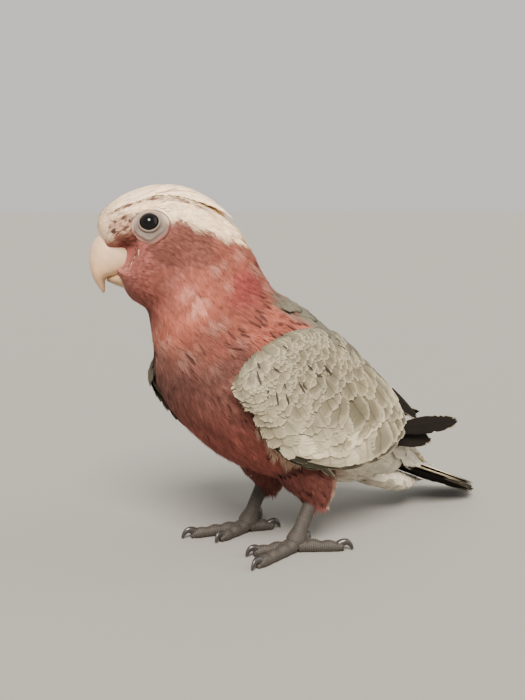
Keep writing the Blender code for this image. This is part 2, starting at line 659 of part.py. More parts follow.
def make_leg(side, sign, parts, cutters, room):
    """The feathered thigh, the bare shank with the foot's hub, four toes and their claws."""
    around = np.linspace(0, 2 * np.pi, 10, endpoint=False)

    def tube(path, radii, flat=1.0):
        path, rings = np.asarray(path, float), []
        tangents = np.gradient(path, axis=0)
        for centre, tangent, radius in zip(path, tangents, radii, strict=True):
            tangent = tangent / np.linalg.norm(tangent)
            sideways = np.array([0.0, 1.0, 0.0])
            sideways = sideways - tangent * (sideways @ tangent)
            sideways = sideways / np.linalg.norm(sideways)
            front = np.cross(tangent, sideways)
            rings.append(
                centre
                + np.outer(np.cos(around), sideways) * radius * flat
                + np.outer(np.sin(around), front) * radius
            )
        return np.array(rings)

    y = sign * STANCE
    ankle = np.array([ANKLE[0], y, ANKLE[1]])
    t = np.linspace(0, 1, 6)[:, None]
    top = np.array([THIGH_TOP[0], sign * (STANCE - THIGH_INSET), THIGH_TOP[1]])
    end = ankle + np.array([-1.5, 0, -THIGH_BELOW_ANKLE])
    path = top + (end - top) * t + np.array([THIGH_BOW, 0, 0]) * np.sin(np.pi * t)
    t = t[:, 0]
    radii = THIGH_TOP_RADIUS * (1 - t) ** 0.9 + THIGH_END_RADIUS * t
    radii = radii + THIGH_SWELL * np.sin(np.pi * t)
    thigh = add_object(f"thigh_{side}", lofted(f"thigh_{side}", tube(path, radii)), "rose", parts)

    foot = np.array([FOOT_X, y, HUB_RADIUS])
    start = ankle + np.array([-2.0, 0, 3.5])
    t = np.linspace(0, 1, 7)[:, None]
    path = start + (foot - start) * t
    swell = 1 + ANKLE_SWELL * np.exp(-((t[:, 0] - 0.12) / 0.10) ** 2)
    swell = swell + FOOT_SWELL * smooth_step(0.72, 1.0, t[:, 0])
    rings = tube(path, TARSUS_RADIUS * swell, flat=0.9)
    base = foot + np.array([-1.2, 0, -HUB_RADIUS * 0.62])
    last = tube([foot, base], [HUB_RADIUS, HUB_RADIUS * 0.8])[1:]
    rings = np.concatenate([rings, last])
    rings[..., 2] = np.maximum(rings[..., 2], 0.0)
    shank = add_object(f"shank_{side}", lofted(f"shank_{side}", rings), "foot", parts)
    shank_room = grown_copy(shank, GAP, cutters)
    cut(thigh, shank_room, *room)

    taken = [shank_room]
    for name, length, outward, claw_length in TOES:
        direction = math.radians(180 - sign * outward)
        ahead = np.array([math.cos(direction), math.sin(direction), 0])
        hub = np.array([FOOT_X - 1.0, y, 0])
        t = np.linspace(0, 1, 8)
        radii = TOE_RADIUS + (TOE_TIP_RADIUS - TOE_RADIUS) * t
        pads = 1 + TOE_PAD_SWELL * np.cos(2 * np.pi * t * length / TOE_PAD_LENGTH)
        radii = radii * pads
        radii[-1] *= 0.55
        centres = hub + ahead * (2.0 + t * (length - 2.0))[:, None]
        centres[:, 2] = radii * SOLE_SHARE
        sideways = np.array([-ahead[1], ahead[0], 0])
        up = np.array([0, 0, 1.0])
        rings = (
            centres[:, None]
            + radii[:, None, None] * (
                np.cos(around)[:, None] * sideways + np.sin(around)[:, None] * up
            )[None]
        )
        rings[..., 2] = np.maximum(rings[..., 2], 0.0)
        toe = add_object(f"{name}_{side}", lofted(f"{name}_{side}", rings), "foot", parts)
        cut(toe, *taken)
        taken.append(grown_copy(toe, GAP, cutters))
        make_claw(f"claw_{name[-1]}_{side}", toe, hub + ahead * (length - 2.2), ahead,
                  claw_length, parts, cutters)


def make_claw(name, toe, root, ahead, length, parts, cutters):
    """A curved claw: a tube along a falling arc that narrows to its point."""
    t = np.linspace(0, 1, 6)
    arc = CLAW_BEND * t
    reach = length / CLAW_BEND
    forward = reach * np.sin(arc) * 1.05
    drop = reach * (1 - np.cos(arc))
    radii = CLAW_TIP_RADIUS + (CLAW_RADIUS - CLAW_TIP_RADIUS) * (1 - t) ** 0.75
    height = CLAW_ROOT_HEIGHT + CLAW_RISE * np.sin(np.pi * np.clip(t * 1.2, 0, 1))
    height = height - drop * CLAW_FALL
    centres = root + ahead * forward[:, None]
    centres[:, 2] = np.maximum(height, radii + 0.4)
    tangents = np.gradient(centres, axis=0)
    tangents = tangents / np.linalg.norm(tangents, axis=1, keepdims=True)
    sideways = np.array([-ahead[1], ahead[0], 0])
    around = np.linspace(0, 2 * np.pi, 6, endpoint=False)
    rings = []
    for centre, tangent, radius in zip(centres, tangents, radii, strict=True):
        up = np.cross(tangent, sideways)
        rings.append(
            centre + np.outer(np.cos(around), sideways) * radius * 0.8
            + np.outer(np.sin(around), up) * radius
        )
    claw = add_object(name, lofted(name, np.array(rings)), "claw", parts)
    cut(toe, grown_copy(claw, GAP, cutters))


def main():
    for obj in list(bpy.data.objects):
        bpy.data.objects.remove(obj)
    scene = bpy.context.scene
    parts = bpy.data.collections.new("galah_parts")
    cutters = bpy.data.collections.new("cutters")
    scene.collection.children.link(parts)
    scene.collection.children.link(cutters)
    cutters.hide_render = True
    stand = bpy.data.objects.new("galah", None)
    stand.location = (-ORIGIN_X * MM, 0, 0)
    parts.objects.link(stand)
    bpy.context.view_layer.update()

    head, neck, trunk, rump = make_flesh(parts)
    bpy.context.view_layer.update()
    make_bill(parts, cutters, head)
    for side, sign in (("left", -1), ("right", 1)):
        make_eye(side, sign, parts, cutters, head)
    make_crest(parts)
    bpy.context.view_layer.update()
    flesh_room = [grown_copy(piece, GAP, cutters) for piece in (neck, trunk, rump)]
    make_tail_coverts(parts, flesh_room[2:])
    make_tail(parts, flesh_room[2:])
    rear_room = flesh_room[1:] + [grown_copy(bpy.data.objects["uppertail_coverts"], GAP, cutters)]
    wing_room = {}
    for side, sign in (("left", -1), ("right", 1)):
        make_wing(side, sign, parts)
        wing_room[side] = [
            grown_copy(bpy.data.objects[f"wing_{piece}_{side}"], GAP, cutters)
            for piece in ("coverts", "secondaries", "primaries")
        ]
    for side, sign in (("left", -1), ("right", 1)):
        make_wing_tip(side, sign, parts, rear_room + wing_room[side])
        make_leg(side, sign, parts, cutters, flesh_room[1:])


main()
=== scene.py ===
"""The looks of the galah: skin, feathers, bill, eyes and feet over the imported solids.

Lengths are in millimetres until a mesh is made. The bird faces -X, its left is -Y and the
floor is z = 0.
"""
import math

import bpy
import numpy as np
from mathutils import Matrix, Vector
from mathutils.bvhtree import BVHTree
from mathutils.kdtree import KDTree


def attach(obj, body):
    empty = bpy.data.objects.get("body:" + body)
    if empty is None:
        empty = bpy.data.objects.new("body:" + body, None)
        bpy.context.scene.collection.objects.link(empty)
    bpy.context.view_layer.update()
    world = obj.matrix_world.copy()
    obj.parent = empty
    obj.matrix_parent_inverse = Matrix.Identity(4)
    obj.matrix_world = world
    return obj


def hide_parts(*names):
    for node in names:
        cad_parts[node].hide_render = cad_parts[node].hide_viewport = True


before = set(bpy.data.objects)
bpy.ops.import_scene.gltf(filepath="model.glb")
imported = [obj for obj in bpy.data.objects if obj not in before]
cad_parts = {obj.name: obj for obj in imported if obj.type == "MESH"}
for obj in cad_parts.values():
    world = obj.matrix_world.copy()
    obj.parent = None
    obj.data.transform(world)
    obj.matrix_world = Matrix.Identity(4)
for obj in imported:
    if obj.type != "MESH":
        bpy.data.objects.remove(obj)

bl_info = {
    "name": "Galah model",
    "version": (1, 0, 0),
    "blender": (4, 5, 0),
    "location": "3D View > Sidebar > Galah",
    "description": "Dresses the galah's solids in skin and feathers",
    "category": "Object",
}

MM = 0.001
ORIGIN = np.array([36.0, 0.0, 0.0])  # the frame's origin in the forms' own millimetres
SEED = 7
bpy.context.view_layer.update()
TINY = 1e-3  # the step that a slope is measured over

# ---------------------------------------------------------------- forms of the solids
BODY_STATIONS = (
    # name        top x   top z   low x   low z  half width
    ("face",      -75.8, 143.6, -66.4, 121.8, 7.4),
    ("lores",     -74.0, 152.0, -62.4, 115.2, 14.2),
    ("brow",      -60.5, 159.0, -57.0, 111.5, 18.6),
    ("crown",     -38.0, 159.6, -54.8, 106.0, 21.6),
    ("nape",      -15.0, 141.5, -53.8,  97.0, 24.6),
    ("neck",       -3.5, 121.0, -52.3,  88.0, 28.5),
    ("breast",     14.5, 110.5, -46.5,  70.0, 34.0),
    ("belly",      39.0,  91.5, -25.0,  46.5, 35.0),
    ("thigh",      60.0,  69.0,   4.0,  31.0, 29.5),
    ("rump",       76.0,  50.0,  36.0,  23.5, 21.5),
    ("tail_root",  91.0,  35.0,  66.0,  17.5, 13.0),
)
WING_STATIONS = BODY_STATIONS[:5] + (
    ("neck",       -2.5, 122.5, -53.0,  87.0, 30.5),
    ("breast",     16.0, 112.5, -48.0,  68.0, 38.8),
    ("belly",      41.5,  94.5, -26.0,  43.5, 41.0),
    ("thigh",      65.0,  75.0,   4.0,  31.0, 37.5),
    ("rump",       84.0,  58.0,  34.0,  27.0, 30.0),
    ("tail_root",  99.0,  43.0,  63.0,  27.0, 21.0),
)
ROUNDNESS = 2.15
WING_ROUNDNESS_ABOVE, WING_ROUNDNESS_BELOW = 2.25, 2.9
BILL_ROOM = 0.60  # how far the face draws in beside the bill
HEAD_TURN = math.radians(-26.0)
HEAD_AXIS_X = -31.2
TURN_STARTS, TURN_ENDS = 6.0, 4.0

UPPER_BILL = (
    ("root",  -68.0, 143.5, -56.5, 131.0, 8.4),
    ("cere",  -75.9, 141.6, -60.0, 127.6, 9.3),
    ("ridge", -79.1, 135.8, -64.5, 126.0, 8.8),
    ("bend",  -79.5, 129.6, -69.0, 125.2, 7.4),
    ("hook",  -78.0, 123.9, -72.6, 124.4, 4.9),
    ("point", -75.7, 120.0, -73.3, 120.9, 2.3),
    ("tip",   -74.2, 118.0, -73.5, 118.5, 0.6),
)
LOWER_BILL = (
    ("root",  -57.0, 130.6, -58.5, 115.9, 7.4),
    ("cheek", -63.0, 128.8, -63.6, 119.0, 7.6),
    ("scoop", -68.4, 127.2, -68.8, 121.2, 6.4),
    ("edge",  -72.8, 125.6, -72.4, 122.9, 3.4),
)
EYE_AT = (-56.3, 147.9)
EYE_RING_AT = (-56.2, 145.8)
EYE_RADIUS, EYE_DEPTH, EYE_OPENING = 4.9, 3.3, 3.75
EYE_RING_HALF = np.array([8.5, 7.9])
CREST_HEIGHT = 1.5
NOSTRIL_AT = (-70.1, 144.3)

WING_TOP_ANGLE, WING_LOW_ANGLE = 36.0, 123.0
WING_FRONT, WING_REAR = 5.50, 8.66
WING_FRONT_LEVEL, WING_REAR_LEVEL = 0.72, 0.60
WING_CLEAR, WING_EDGE_THICK, WING_THINNEST = 0.8, 1.0, 0.3
WING_HEIGHT, WING_END = 72, 0.99  # from the upper to the lower edge, and where feathers stop
RIGHT_WING_DROOP = 15.0
WING_TIP_FEATHERS = (
    # root, tip and half width of the left wing's long feathers
    ((50.0, -27.0, 50.5), (118.0, -13.5, 45.0), 4.8),
    ((48.0, -27.5, 47.0), (94.0, -17.0, 39.5), 4.6),
    ((44.0, -20.5, 80.5), (87.0, -14.0, 50.5), 5.4),
)
TAIL_ROOT_AT = (70.0, 35.6)
TAIL_SLOPE = math.radians(22.6)
TAIL_LENGTH = 84.0
RECTRIX_PAIRS, RECTRIX_HALF_WIDTH = 6, 6.4
RECTRIX_SPACING, RECTRIX_SHORTER = 1.3, 3.2
RECTRIX_ROLL, TAIL_SPREAD = math.radians(11.0), math.radians(4.5)
MIDDLE_PAIR_DEPTH, SECOND_PAIR_DEPTH, NEXT_PAIR_DEPTH = 0.85, 2.5, 0.6
UNDERTAIL_COVERTS = (
    ("root", 62.0, 27.8, 50.0, 22.5, 14.5),
    ("full", 76.0, 24.8, 70.5, 15.0, 12.5),
    ("thin", 89.0, 19.4, 86.4, 10.8,  9.0),
    ("end",  99.5, 14.9, 98.9, 11.4,  3.0),
)
UPPERTAIL_COVERTS = (
    ("root",  72.0, 47.0,  66.0, 38.0, 13.0),
    ("full",  86.0, 38.6,  83.0, 32.0, 10.5),
    ("thin",  98.0, 29.6,  96.5, 26.4,  7.0),
    ("end",  106.0, 23.6, 105.4, 22.4,  2.4),
)
STANCE, FOOT_X = 18.0, 5.0
ANKLE, THIGH_TOP = (19.5, 24.5), (4.0, 46.0)
THIGH_INSET, THIGH_BELOW_ANKLE = 4.5, 6.5
THIGH_TOP_RADIUS, THIGH_END_RADIUS, THIGH_SWELL, THIGH_BOW = 12.5, 5.2, 3.0, 4.5
TARSUS_RADIUS, ANKLE_SWELL, FOOT_SWELL = 3.3, 0.30, 0.45
TOE_RADIUS, TOE_TIP_RADIUS, SOLE_SHARE = 3.1, 2.3, 0.86
TOES = (
    # number, length, direction from straight ahead (outwards is positive), claw length
    (3, 27.5, 16.0, 9.0),
    (2, 19.5, -16.0, 8.0),
    (4, 22.5, 144.0, 8.5),
    (1, 13.5, -156.0, 7.5),
)
TOE_PAD_LENGTH, TOE_PAD_SWELL, HUB_RADIUS = 7.5, 0.07, 4.6
CLAW_RADIUS, CLAW_TIP_RADIUS, CLAW_ROOT_HEIGHT = 2.03, 0.28, 2.9
CLAW_RISE, CLAW_FALL, CLAW_BEND = 1.6, 0.42, math.radians(78)
SIDES = (("left", -1), ("right", 1))

# ---------------------------------------------------------------- places of the markings
# middle and half size, in x and z or in station and degrees from the top
EAR_PATCH, EAR_SQUARENESS = ((-43.5, 139.5), (13.5, 11.0)), 2.6
LORES_PATCH = ((-65.5, 144.5), (5.4, 6.2))
HOT_PATCH = ((4.55, 60), (0.38, 22))
SHOULDER_PATCH = ((5.5, 66), (0.42, 30))
CAP_LEVEL, CAP_FALL, CAP_FALLS_FROM, CAP_FRONT_DROP = 147.8, 0.42, -42, 9
CERE_HEIGHT, PARTING_AT, BAND_LENGTH = 137.5, 31.5, 0.95

# ---------------------------------------------------------------- skin, coat and stage
SKIN_ROWS, SKIN_AROUND = 150, 120
LIMB_ROWS, LIMB_SKIN_DEPTH, COVERT_SKIN_DEPTH = 24, 2.2, 1.4
WING_SKIN_DEPTH, WING_SKIN_THICK = 1.6, 1.0
PATCH = 0.003  # a feather's patch on the unrolled skin
HALVES = np.array([-1.0, 1.0])  # the two edges of a barb, or the two halves of a vane
BARB_GAP, BARB_SHARE, BARB_TAPER, BARB_SLANT = 0.92, 0.66, 0.3, 0.34
BARB_FIRST, BARB_REACH, LEAST_VANE = 0.03, 0.93, 0.10  # barbs' roots along the shaft
SPLITS_FROM, SPLIT_EDGE, SPLIT_CHANCE = 0.35, 14, 0.5
TUFT_BLUNT, TUFT_START, TUFT_SWAY, TUFT_BEND = 0.42, 0.22, 0.12, 0.25
TUFT_ROOT_SPREAD, TUFT_BARB_WIDTH = 0.30, 1.5
BLADE_ROWS, BLADE_COLUMNS, BLADE_SPLITS, STREAKED_PAIRS = 26, 13, 5, 3
# The shadow slits are thin dark blades: painted shadow in the gaps between feathers.
BREAST_SHADOW_SLITS, WING_SHADOW_SLITS, SHADOW_SLIT_DEPTH, FRONT_ROW = 150, 15, -0.42, 30
SECONDARY_ROWS = (
    # upper and lower end down the wing, longest, width
    (0.06, 0.80, 44.0, 13.5),
    (0.10, 0.78, 27.0, 14.0),
)
BILL_AROUND = 72
PUPIL_TINT, IRIS_TINT = np.array([0.002, 0.002, 0.002]), np.array([0.010, 0.006, 0.005])
SHAFT_TONE = (0.75, 0.75, 0.75)
CAMERA_TARGET = np.array([0.0, 0.0, 90.0])
CAMERA_AZIMUTH, CAMERA_HEIGHT = math.radians(-38.0), math.radians(8.0)
CAMERA_DISTANCE = 450.0
SENSOR, LENS = 36.0, 51.43
LIGHTS = (
    # name, direction it comes from, spread in degrees, power, tone
    ("key", (-0.62, -0.72, 1.0), 26, 8.2, (1.0, 0.93, 0.84)),
    ("fill", (0.9, -0.8, 0.6), 60, 1.4, (1.0, 0.96, 0.92)),
)
STUDIO_TINT, STUDIO_POWER = (0.80, 0.775, 0.735, 1), 0.98
FLOOR_TINT, FLOOR_HALF = (0.262, 0.253, 0.234, 1), 40.0


# ================================================================ settings
def tint(name, description, default):
    return bpy.props.FloatVectorProperty(name=name, description=description, default=default,
                                         subtype="COLOR", size=3, min=0.0, max=1.0)


def length(name, description, default):
    return bpy.props.FloatProperty(name=name, description=description, default=default * MM,
                                   subtype="DISTANCE", unit="LENGTH", min=0.0, precision=5)


class GalahColours(bpy.types.PropertyGroup):
    cream: tint("Crown", "Forehead and crown", (0.95, 0.735, 0.48))
    ear: tint("Ear patch", "Dusky patch behind the eye", (0.158, 0.052, 0.038))
    cheek: tint("Cheek", "Cheeks and chin", (0.275, 0.086, 0.068))
    neck: tint("Neck", "Neck and upper breast", (0.225, 0.064, 0.042))
    blush: tint("Pale pink", "Pale bases between the pink feathers", (0.38, 0.2, 0.155))
    hot: tint("Bright pink", "Bright patch behind the cheek", (0.252, 0.044, 0.0386))
    lores: tint("Lores", "Between the eye and the bill", (0.225, 0.064, 0.044))
    rose: tint("Breast", "Breast", (0.158, 0.059, 0.0455))
    # Set lighter than the breast: painted light that makes up for the shade under the body.
    belly: tint("Belly", "Lower belly and thighs", (0.25, 0.07, 0.053))
    coral: tint("Shoulder", "Bright patch before the wing", (0.36, 0.1, 0.066))
    mantle: tint("Mantle", "Back between the wings", (0.125, 0.111, 0.076))
    wing: tint("Wing", "Wing coverts", (0.145, 0.122, 0.07))
    wing_edge: tint("Feather edge", "Pale edges of the wing feathers", (0.8, 0.7, 0.49))
    rump: tint("Rump", "Rump and tail coverts", (0.6, 0.54, 0.42))
    dark: tint("Flight feathers", "Long wing and tail feathers", (0.0065, 0.005, 0.0035))
    bill: tint("Bill", "Horn of the bill", (0.62, 0.42, 0.26))
    lid: tint("Eye ring", "Bare skin round the eye", (0.195, 0.145, 0.115))
    foot: tint("Foot", "Scales of the feet", (0.05, 0.04, 0.031))
    claw: tint("Claw", "Claws", (0.024, 0.02, 0.018))


class GalahSizes(bpy.types.PropertyGroup):
    face_coat: length("Face coat", "Depth of the feathers on the face", 0.5)
    head_coat: length("Head coat", "Depth of the feathers on the head", 0.85)
    body_coat: length("Body coat", "Depth of the feathers on the body", 1.7)
    face_spacing: length("Face spacing", "Room between the face's feathers", 0.95)
    head_spacing: length("Head spacing", "Room between the head's feathers", 1.45)
    body_spacing: length("Body spacing", "Room between the body's feathers", 2.2)
    scale: length("Foot scale", "Width of one scale of the feet", 1.05)


def colour(name, share=1.0):
    """A colour of the settings, as an array, darkened or lightened by a share."""
    return np.array(getattr(bpy.context.scene.galah_colours, name)) * share


def size(name):
    return getattr(bpy.context.scene.galah_sizes, name) / MM


# ================================================================ curves and surfaces
def natural_spline(values):
    """The cubic spline through values at 0, 1, 2 ... whose bend is nought at both ends."""
    y = np.asarray(values, float)
    n = len(y)
    system = np.eye(n)
    slopes = np.zeros(n)
    for i in range(1, n - 1):
        system[i, i - 1 : i + 2] = 1, 4, 1
        slopes[i] = 6 * (y[i - 1] - 2 * y[i] + y[i + 1])
    bend = np.linalg.solve(system, slopes)

    def at(s):
        i = np.clip(np.floor(s).astype(int), 0, n - 2)
        u = s - i
        v = 1 - u
        return v * y[i] + u * y[i + 1] + ((v**3 - v) * bend[i] + (u**3 - u) * bend[i + 1]) / 6

    return at


def floats(*values):
    """The values as arrays of one shape."""
    return np.broadcast_arrays(*(np.asarray(value, float) for value in values))


def smooth_step(edge0, edge1, x):
    t = np.clip((np.asarray(x, float) - edge0) / (edge1 - edge0), 0, 1)
    return t * t * (3 - 2 * t)


def hump(x, at, width):
    """1 at one value of x, falling off on both sides of it as a bell."""
    return np.exp(-(((x - at) / width) ** 2))


def unit(vectors):
    return vectors / np.linalg.norm(vectors, axis=-1, keepdims=True)


def mixed(a, b, share):
    """From a to b by share, where the last axis is the colour or the point."""
    return a + (b - a) * np.asarray(share)[..., None]


def painted(tints, *layers):
    """The tints under layers of paint, each a colour and how far it covers."""
    for paint, share in layers:
        tints = mixed(tints, paint, share)
    return tints


def closed_angles(count, start=0.0):
    """Angles round a circle, without the last that would meet the first."""
    return np.linspace(start, start + 2 * np.pi, count, endpoint=False)


def there_and_back(over, under):
    """Rows that run out over one side and back along the other, as the rings of a plate."""
    return np.concatenate([over, under[:, ::-1]], 1)


def degrees_round(angle):
    """Degrees from the top of the body, the same on both sides."""
    return np.degrees(np.arccos(np.clip(np.cos(angle), -1, 1)))


def slopes_at(form, p, q, step=TINY):
    """How the form's point moves with p and with q."""
    here = form.point(p, q)
    return (form.point(p + step, q) - here) / step, (form.point(p, q + step) - here) / step


def turn_head(points, angle=HEAD_TURN):
    """The points turned about the head's upright axis."""
    x, y, z = points[..., 0] - HEAD_AXIS_X, points[..., 1], points[..., 2]
    c, s = np.cos(angle), np.sin(angle)
    return np.stack([HEAD_AXIS_X + c * x - s * y, s * x + c * y, z], -1)


class Loft:
    """A surface through the stations: angle 0 is the top, 90 degrees the left side (-Y).

    A section is a rounded oval: its height runs along the line from its lowest to its
    topmost point as cos(angle) to the power 2 / roundness, and its width as sin(angle).
    """

    def __init__(self, stations, above=ROUNDNESS, below=ROUNDNESS, face=0.0, turns=False,
                 roots_from=0.0, root_step=1.0):
        columns = np.array([row[1:] for row in stations], float).T
        self.top_x, self.top_z, self.low_x, self.low_z, self.half = map(
            natural_spline, columns
        )
        self.above, self.below = above, below
        self.face, self.turns = face, turns
        self.roots_from, self.root_step = roots_from, root_step

    def roots(self, s, angle):
        """Where on the body's unrolled skin a feather of this form has its patch."""
        return self.roots_from + self.root_step * s, angle

    def point(self, s, angle, grow=0.0):
        s, angle, grow = floats(s, angle, grow)
        top = np.stack([self.top_x(s), self.top_z(s)], -1)
        low = np.stack([self.low_x(s), self.low_z(s)], -1)
        middle, upward = (top + low) / 2, (top - low) / 2
        height = np.linalg.norm(upward, axis=-1)
        power = 2 / np.where(np.cos(angle) > 0, self.above, self.below)
        up, side = (np.sign(wave) * np.abs(wave) ** power
                    for wave in (np.cos(angle), np.sin(angle)))
        xz = middle + upward * (up * (height + grow) / height)[..., None]
        round_it = degrees_round(angle)
        rear = 2.1 - 0.5 * smooth_step(80, 108, round_it)
        room = self.face * smooth_step(rear, rear - 0.75, s)
        room = room * smooth_step(64, 93, round_it) * smooth_step(113, 96, round_it)
        y = -side * (np.maximum(self.half(s), 0.3) + grow) * (1 - room)
        points = np.stack([xz[..., 0], y, xz[..., 1]], -1)
        if self.turns:
            points = turn_head(points, HEAD_TURN * smooth_step(TURN_STARTS, TURN_ENDS, s))
        return points

    def normal(self, s, angle):
        step = 0.01
        along = self.point(s + step, angle) - self.point(s - step, angle)
        around = self.point(s, angle + step) - self.point(s, angle - step)
        return unit(np.cross(around, along))

    def spot(self, x, z, side):
        """The (station, angle) on one side of the form with this x and z, by Newton's steps."""
        place = np.array([1.7, math.radians(70)])
        for _ in range(12):
            slope = np.array(slopes_at(self, *place, step=1e-4))[:, [0, 2]].T
            place = place + np.linalg.solve(slope, [x, z] - self.point(*place)[[0, 2]])
        return place[0], place[1] * -side

    def axes_at(self, spot):
        """The directions ahead, up and out on the surface at a spot."""
        out = self.normal(*spot)
        ahead = np.array([-1.0, 0, 0])
        ahead = unit(ahead - out * (ahead @ out))
        above = np.cross(out, ahead)
        return ahead, above * np.sign(above[2]), out

    def around_spot(self, spot, forward, up, height):
        """Points over the form at these distances forward and up from a spot of it."""
        ahead, above, _ = self.axes_at(spot)
        shift = forward[..., None] * ahead + up[..., None] * above
        moves = shift @ np.linalg.pinv(np.array(slopes_at(self, *spot)))
        s, angle = spot[0] + moves[..., 0], spot[1] + moves[..., 1]
        return self.point(s, angle) + self.normal(s, angle) * height[..., None]


class CrestForm(Loft):
    """The body raised along the crown, as high as the crest lies over the head."""

    def point(self, s, angle, grow=0.0):
        high = smooth_step(1.0, 1.9, s) * smooth_step(31, 23, np.degrees(np.abs(angle)))
        return super().point(s, angle, grow + CREST_HEIGHT * high)


BODY, CREST = (kind(BODY_STATIONS, face=BILL_ROOM, turns=True) for kind in (Loft, CrestForm))
HEAD = Loft(BODY_STATIONS, face=BILL_ROOM)
TRUNK = Loft(BODY_STATIONS)
WING_FORM = Loft(WING_STATIONS, WING_ROUNDNESS_ABOVE, WING_ROUNDNESS_BELOW)


class Wing:
    """The outside of a folded wing, on the left (-1) or the right (+1).

    along runs from the wrist (0) to the rear edge (1), and down from the back (0) to the
    lower edge (1). The surface lies on straight lines from the trunk out to the wing's
    form, and rounds in to the trunk at its front and upper edges.
    """

    def __init__(self, sign):
        self.sign = sign

    def place(self, along, down):
        """The body's station and angle there, the angle positive on both sides."""
        level = np.clip(down, 0, 1)
        from_front, from_rear = level - WING_FRONT_LEVEL, level - WING_REAR_LEVEL
        front = WING_FRONT + np.where(from_front < 0, 2.1, 3.4) * from_front**2
        rear = WING_REAR - np.where(from_rear < 0, 4.6, 8.5) * np.abs(from_rear) ** 2.25
        low = WING_LOW_ANGLE + RIGHT_WING_DROOP * (self.sign > 0) * (1 - along)
        angle = np.radians(WING_TOP_ANGLE + down * (low - WING_TOP_ANGLE))
        return front + along * (rear - front), angle

    def roots(self, along, down):
        s, angle = self.place(along, down)
        return s, -self.sign * angle

    def point(self, along, down, grow=0.0):
        along, down, grow = floats(along, down, grow)
        s, angle = self.place(along, down)
        body, form = TRUNK.point(s, angle), WING_FORM.point(s, angle)
        reach = np.linalg.norm(form - body, axis=-1)
        edge = np.clip(np.minimum(along / 0.13, down / 0.16), 0, 1)
        edge = np.sqrt(1 - (1 - edge) ** 2)
        least = WING_CLEAR + WING_EDGE_THICK
        outer = least + np.maximum(reach - least, 0) * edge
        outer = outer - 1.6 * np.clip((down - 0.88) / 0.12, 0, 1) ** 2 + grow
        direction = (form - body) / reach[..., None]
        points = body + direction * np.maximum(outer, WING_THINNEST)[..., None]
        return points * np.array([1.0, -self.sign, 1.0])


class Thigh:
    """The feathered upper leg: a tube whose middle runs from the hip to below the ankle."""

    def __init__(self, sign):
        self.sign = sign

    def roots(self, t, angle):
        return 7.2 + 0.8 * t, -self.sign * (2.0 + 0.1 * angle)

    def point(self, t, angle, grow=0.0):
        t, angle, grow = floats(t, angle, grow)
        end = np.array([ANKLE[0] - 1.5, self.sign * STANCE, ANKLE[1] - THIGH_BELOW_ANKLE])
        top = np.array([THIGH_TOP[0], self.sign * (STANCE - THIGH_INSET), THIGH_TOP[1]])
        bow = np.array([THIGH_BOW, 0, 0])
        middle = mixed(top, end, t) + np.sin(np.pi * t)[..., None] * bow
        heading = unit((end - top) + np.pi * np.cos(np.pi * t)[..., None] * bow)
        across = np.array([0.0, 1.0, 0.0])
        across = unit(across - heading * (heading @ across)[..., None])
        front = np.cross(heading, across)
        radius = THIGH_TOP_RADIUS * np.clip(1 - t, 0, 1) ** 0.9 + THIGH_END_RADIUS * t
        radius = radius + THIGH_SWELL * np.sin(np.pi * t) + grow
        angle = angle * -self.sign
        spoke = np.cos(angle)[..., None] * across + np.sin(angle)[..., None] * front
        return middle + spoke * radius[..., None]


# ================================================================ meshes
def grid_quads(rows, columns, wrap=False):
    """Four corners for each cell of a grid of points, joined round its columns if it wraps."""
    i, j = np.meshgrid(np.arange(rows - 1), np.arange(columns - (not wrap)), indexing="ij")
    after = (j + 1) % columns
    corners = (i * columns + j, (i + 1) * columns + j, (i + 1) * columns + after,
               i * columns + after)
    return np.stack(corners, -1).reshape(-1, 4)


def repeated(quads, copies, points_each):
    """The same quads for each of many grids whose points follow each other."""
    starts = np.arange(copies)[:, None, None] * points_each
    return (quads[None] + starts).reshape(-1, 4)


class Shape:
    """Arrays gathered for one mesh: points, quads, triangles, colours and two UV maps."""

    def __init__(self):
        self.points, self.quads, self.tris = [], [], []
        self.colours, self.patches, self.vanes = [], [], []
        self.count = 0

    def add(self, points, quads, tints, patch, vane, tris=()):
        for store, values, wide in (
            (self.points, points, 3), (self.colours, tints, 3), (self.patches, patch, 2),
            (self.vanes, vane, 2), (self.quads, np.add(quads, self.count), 4),
            (self.tris, np.add(tris, self.count), 3),
        ):
            store.append(np.reshape(values, (-1, wide)))
        self.count += len(self.points[-1])

    def add_closed(self, rings, tints, patch, vane=(0.0, 0.0)):
        """A grid that wraps round its columns, closed by a fan at each end."""
        rows, columns = rings.shape[:2]
        around = np.arange(columns)
        after = (around + 1) % columns
        last = (rows - 1) * columns
        ends = np.full(columns, rows * columns)
        fans = [np.stack([ends, around, after], -1),
                np.stack([ends + 1, last + after, last + around], -1)]

        def with_ends(values):
            values = np.broadcast_to(values, (rows, columns, np.shape(values)[-1]))
            return np.concatenate([values.reshape(rows * columns, -1), values[[0, -1], 0]])

        points = np.concatenate([rings.reshape(-1, 3), rings[[0, -1]].mean(1)])
        self.add(points, grid_quads(rows, columns, True), with_ends(tints),
                 with_ends(patch), with_ends(vane), np.concatenate(fans))


def new_object(name, data):
    obj = bpy.data.objects.new(name, data)
    bpy.context.scene.collection.objects.link(obj)
    return obj


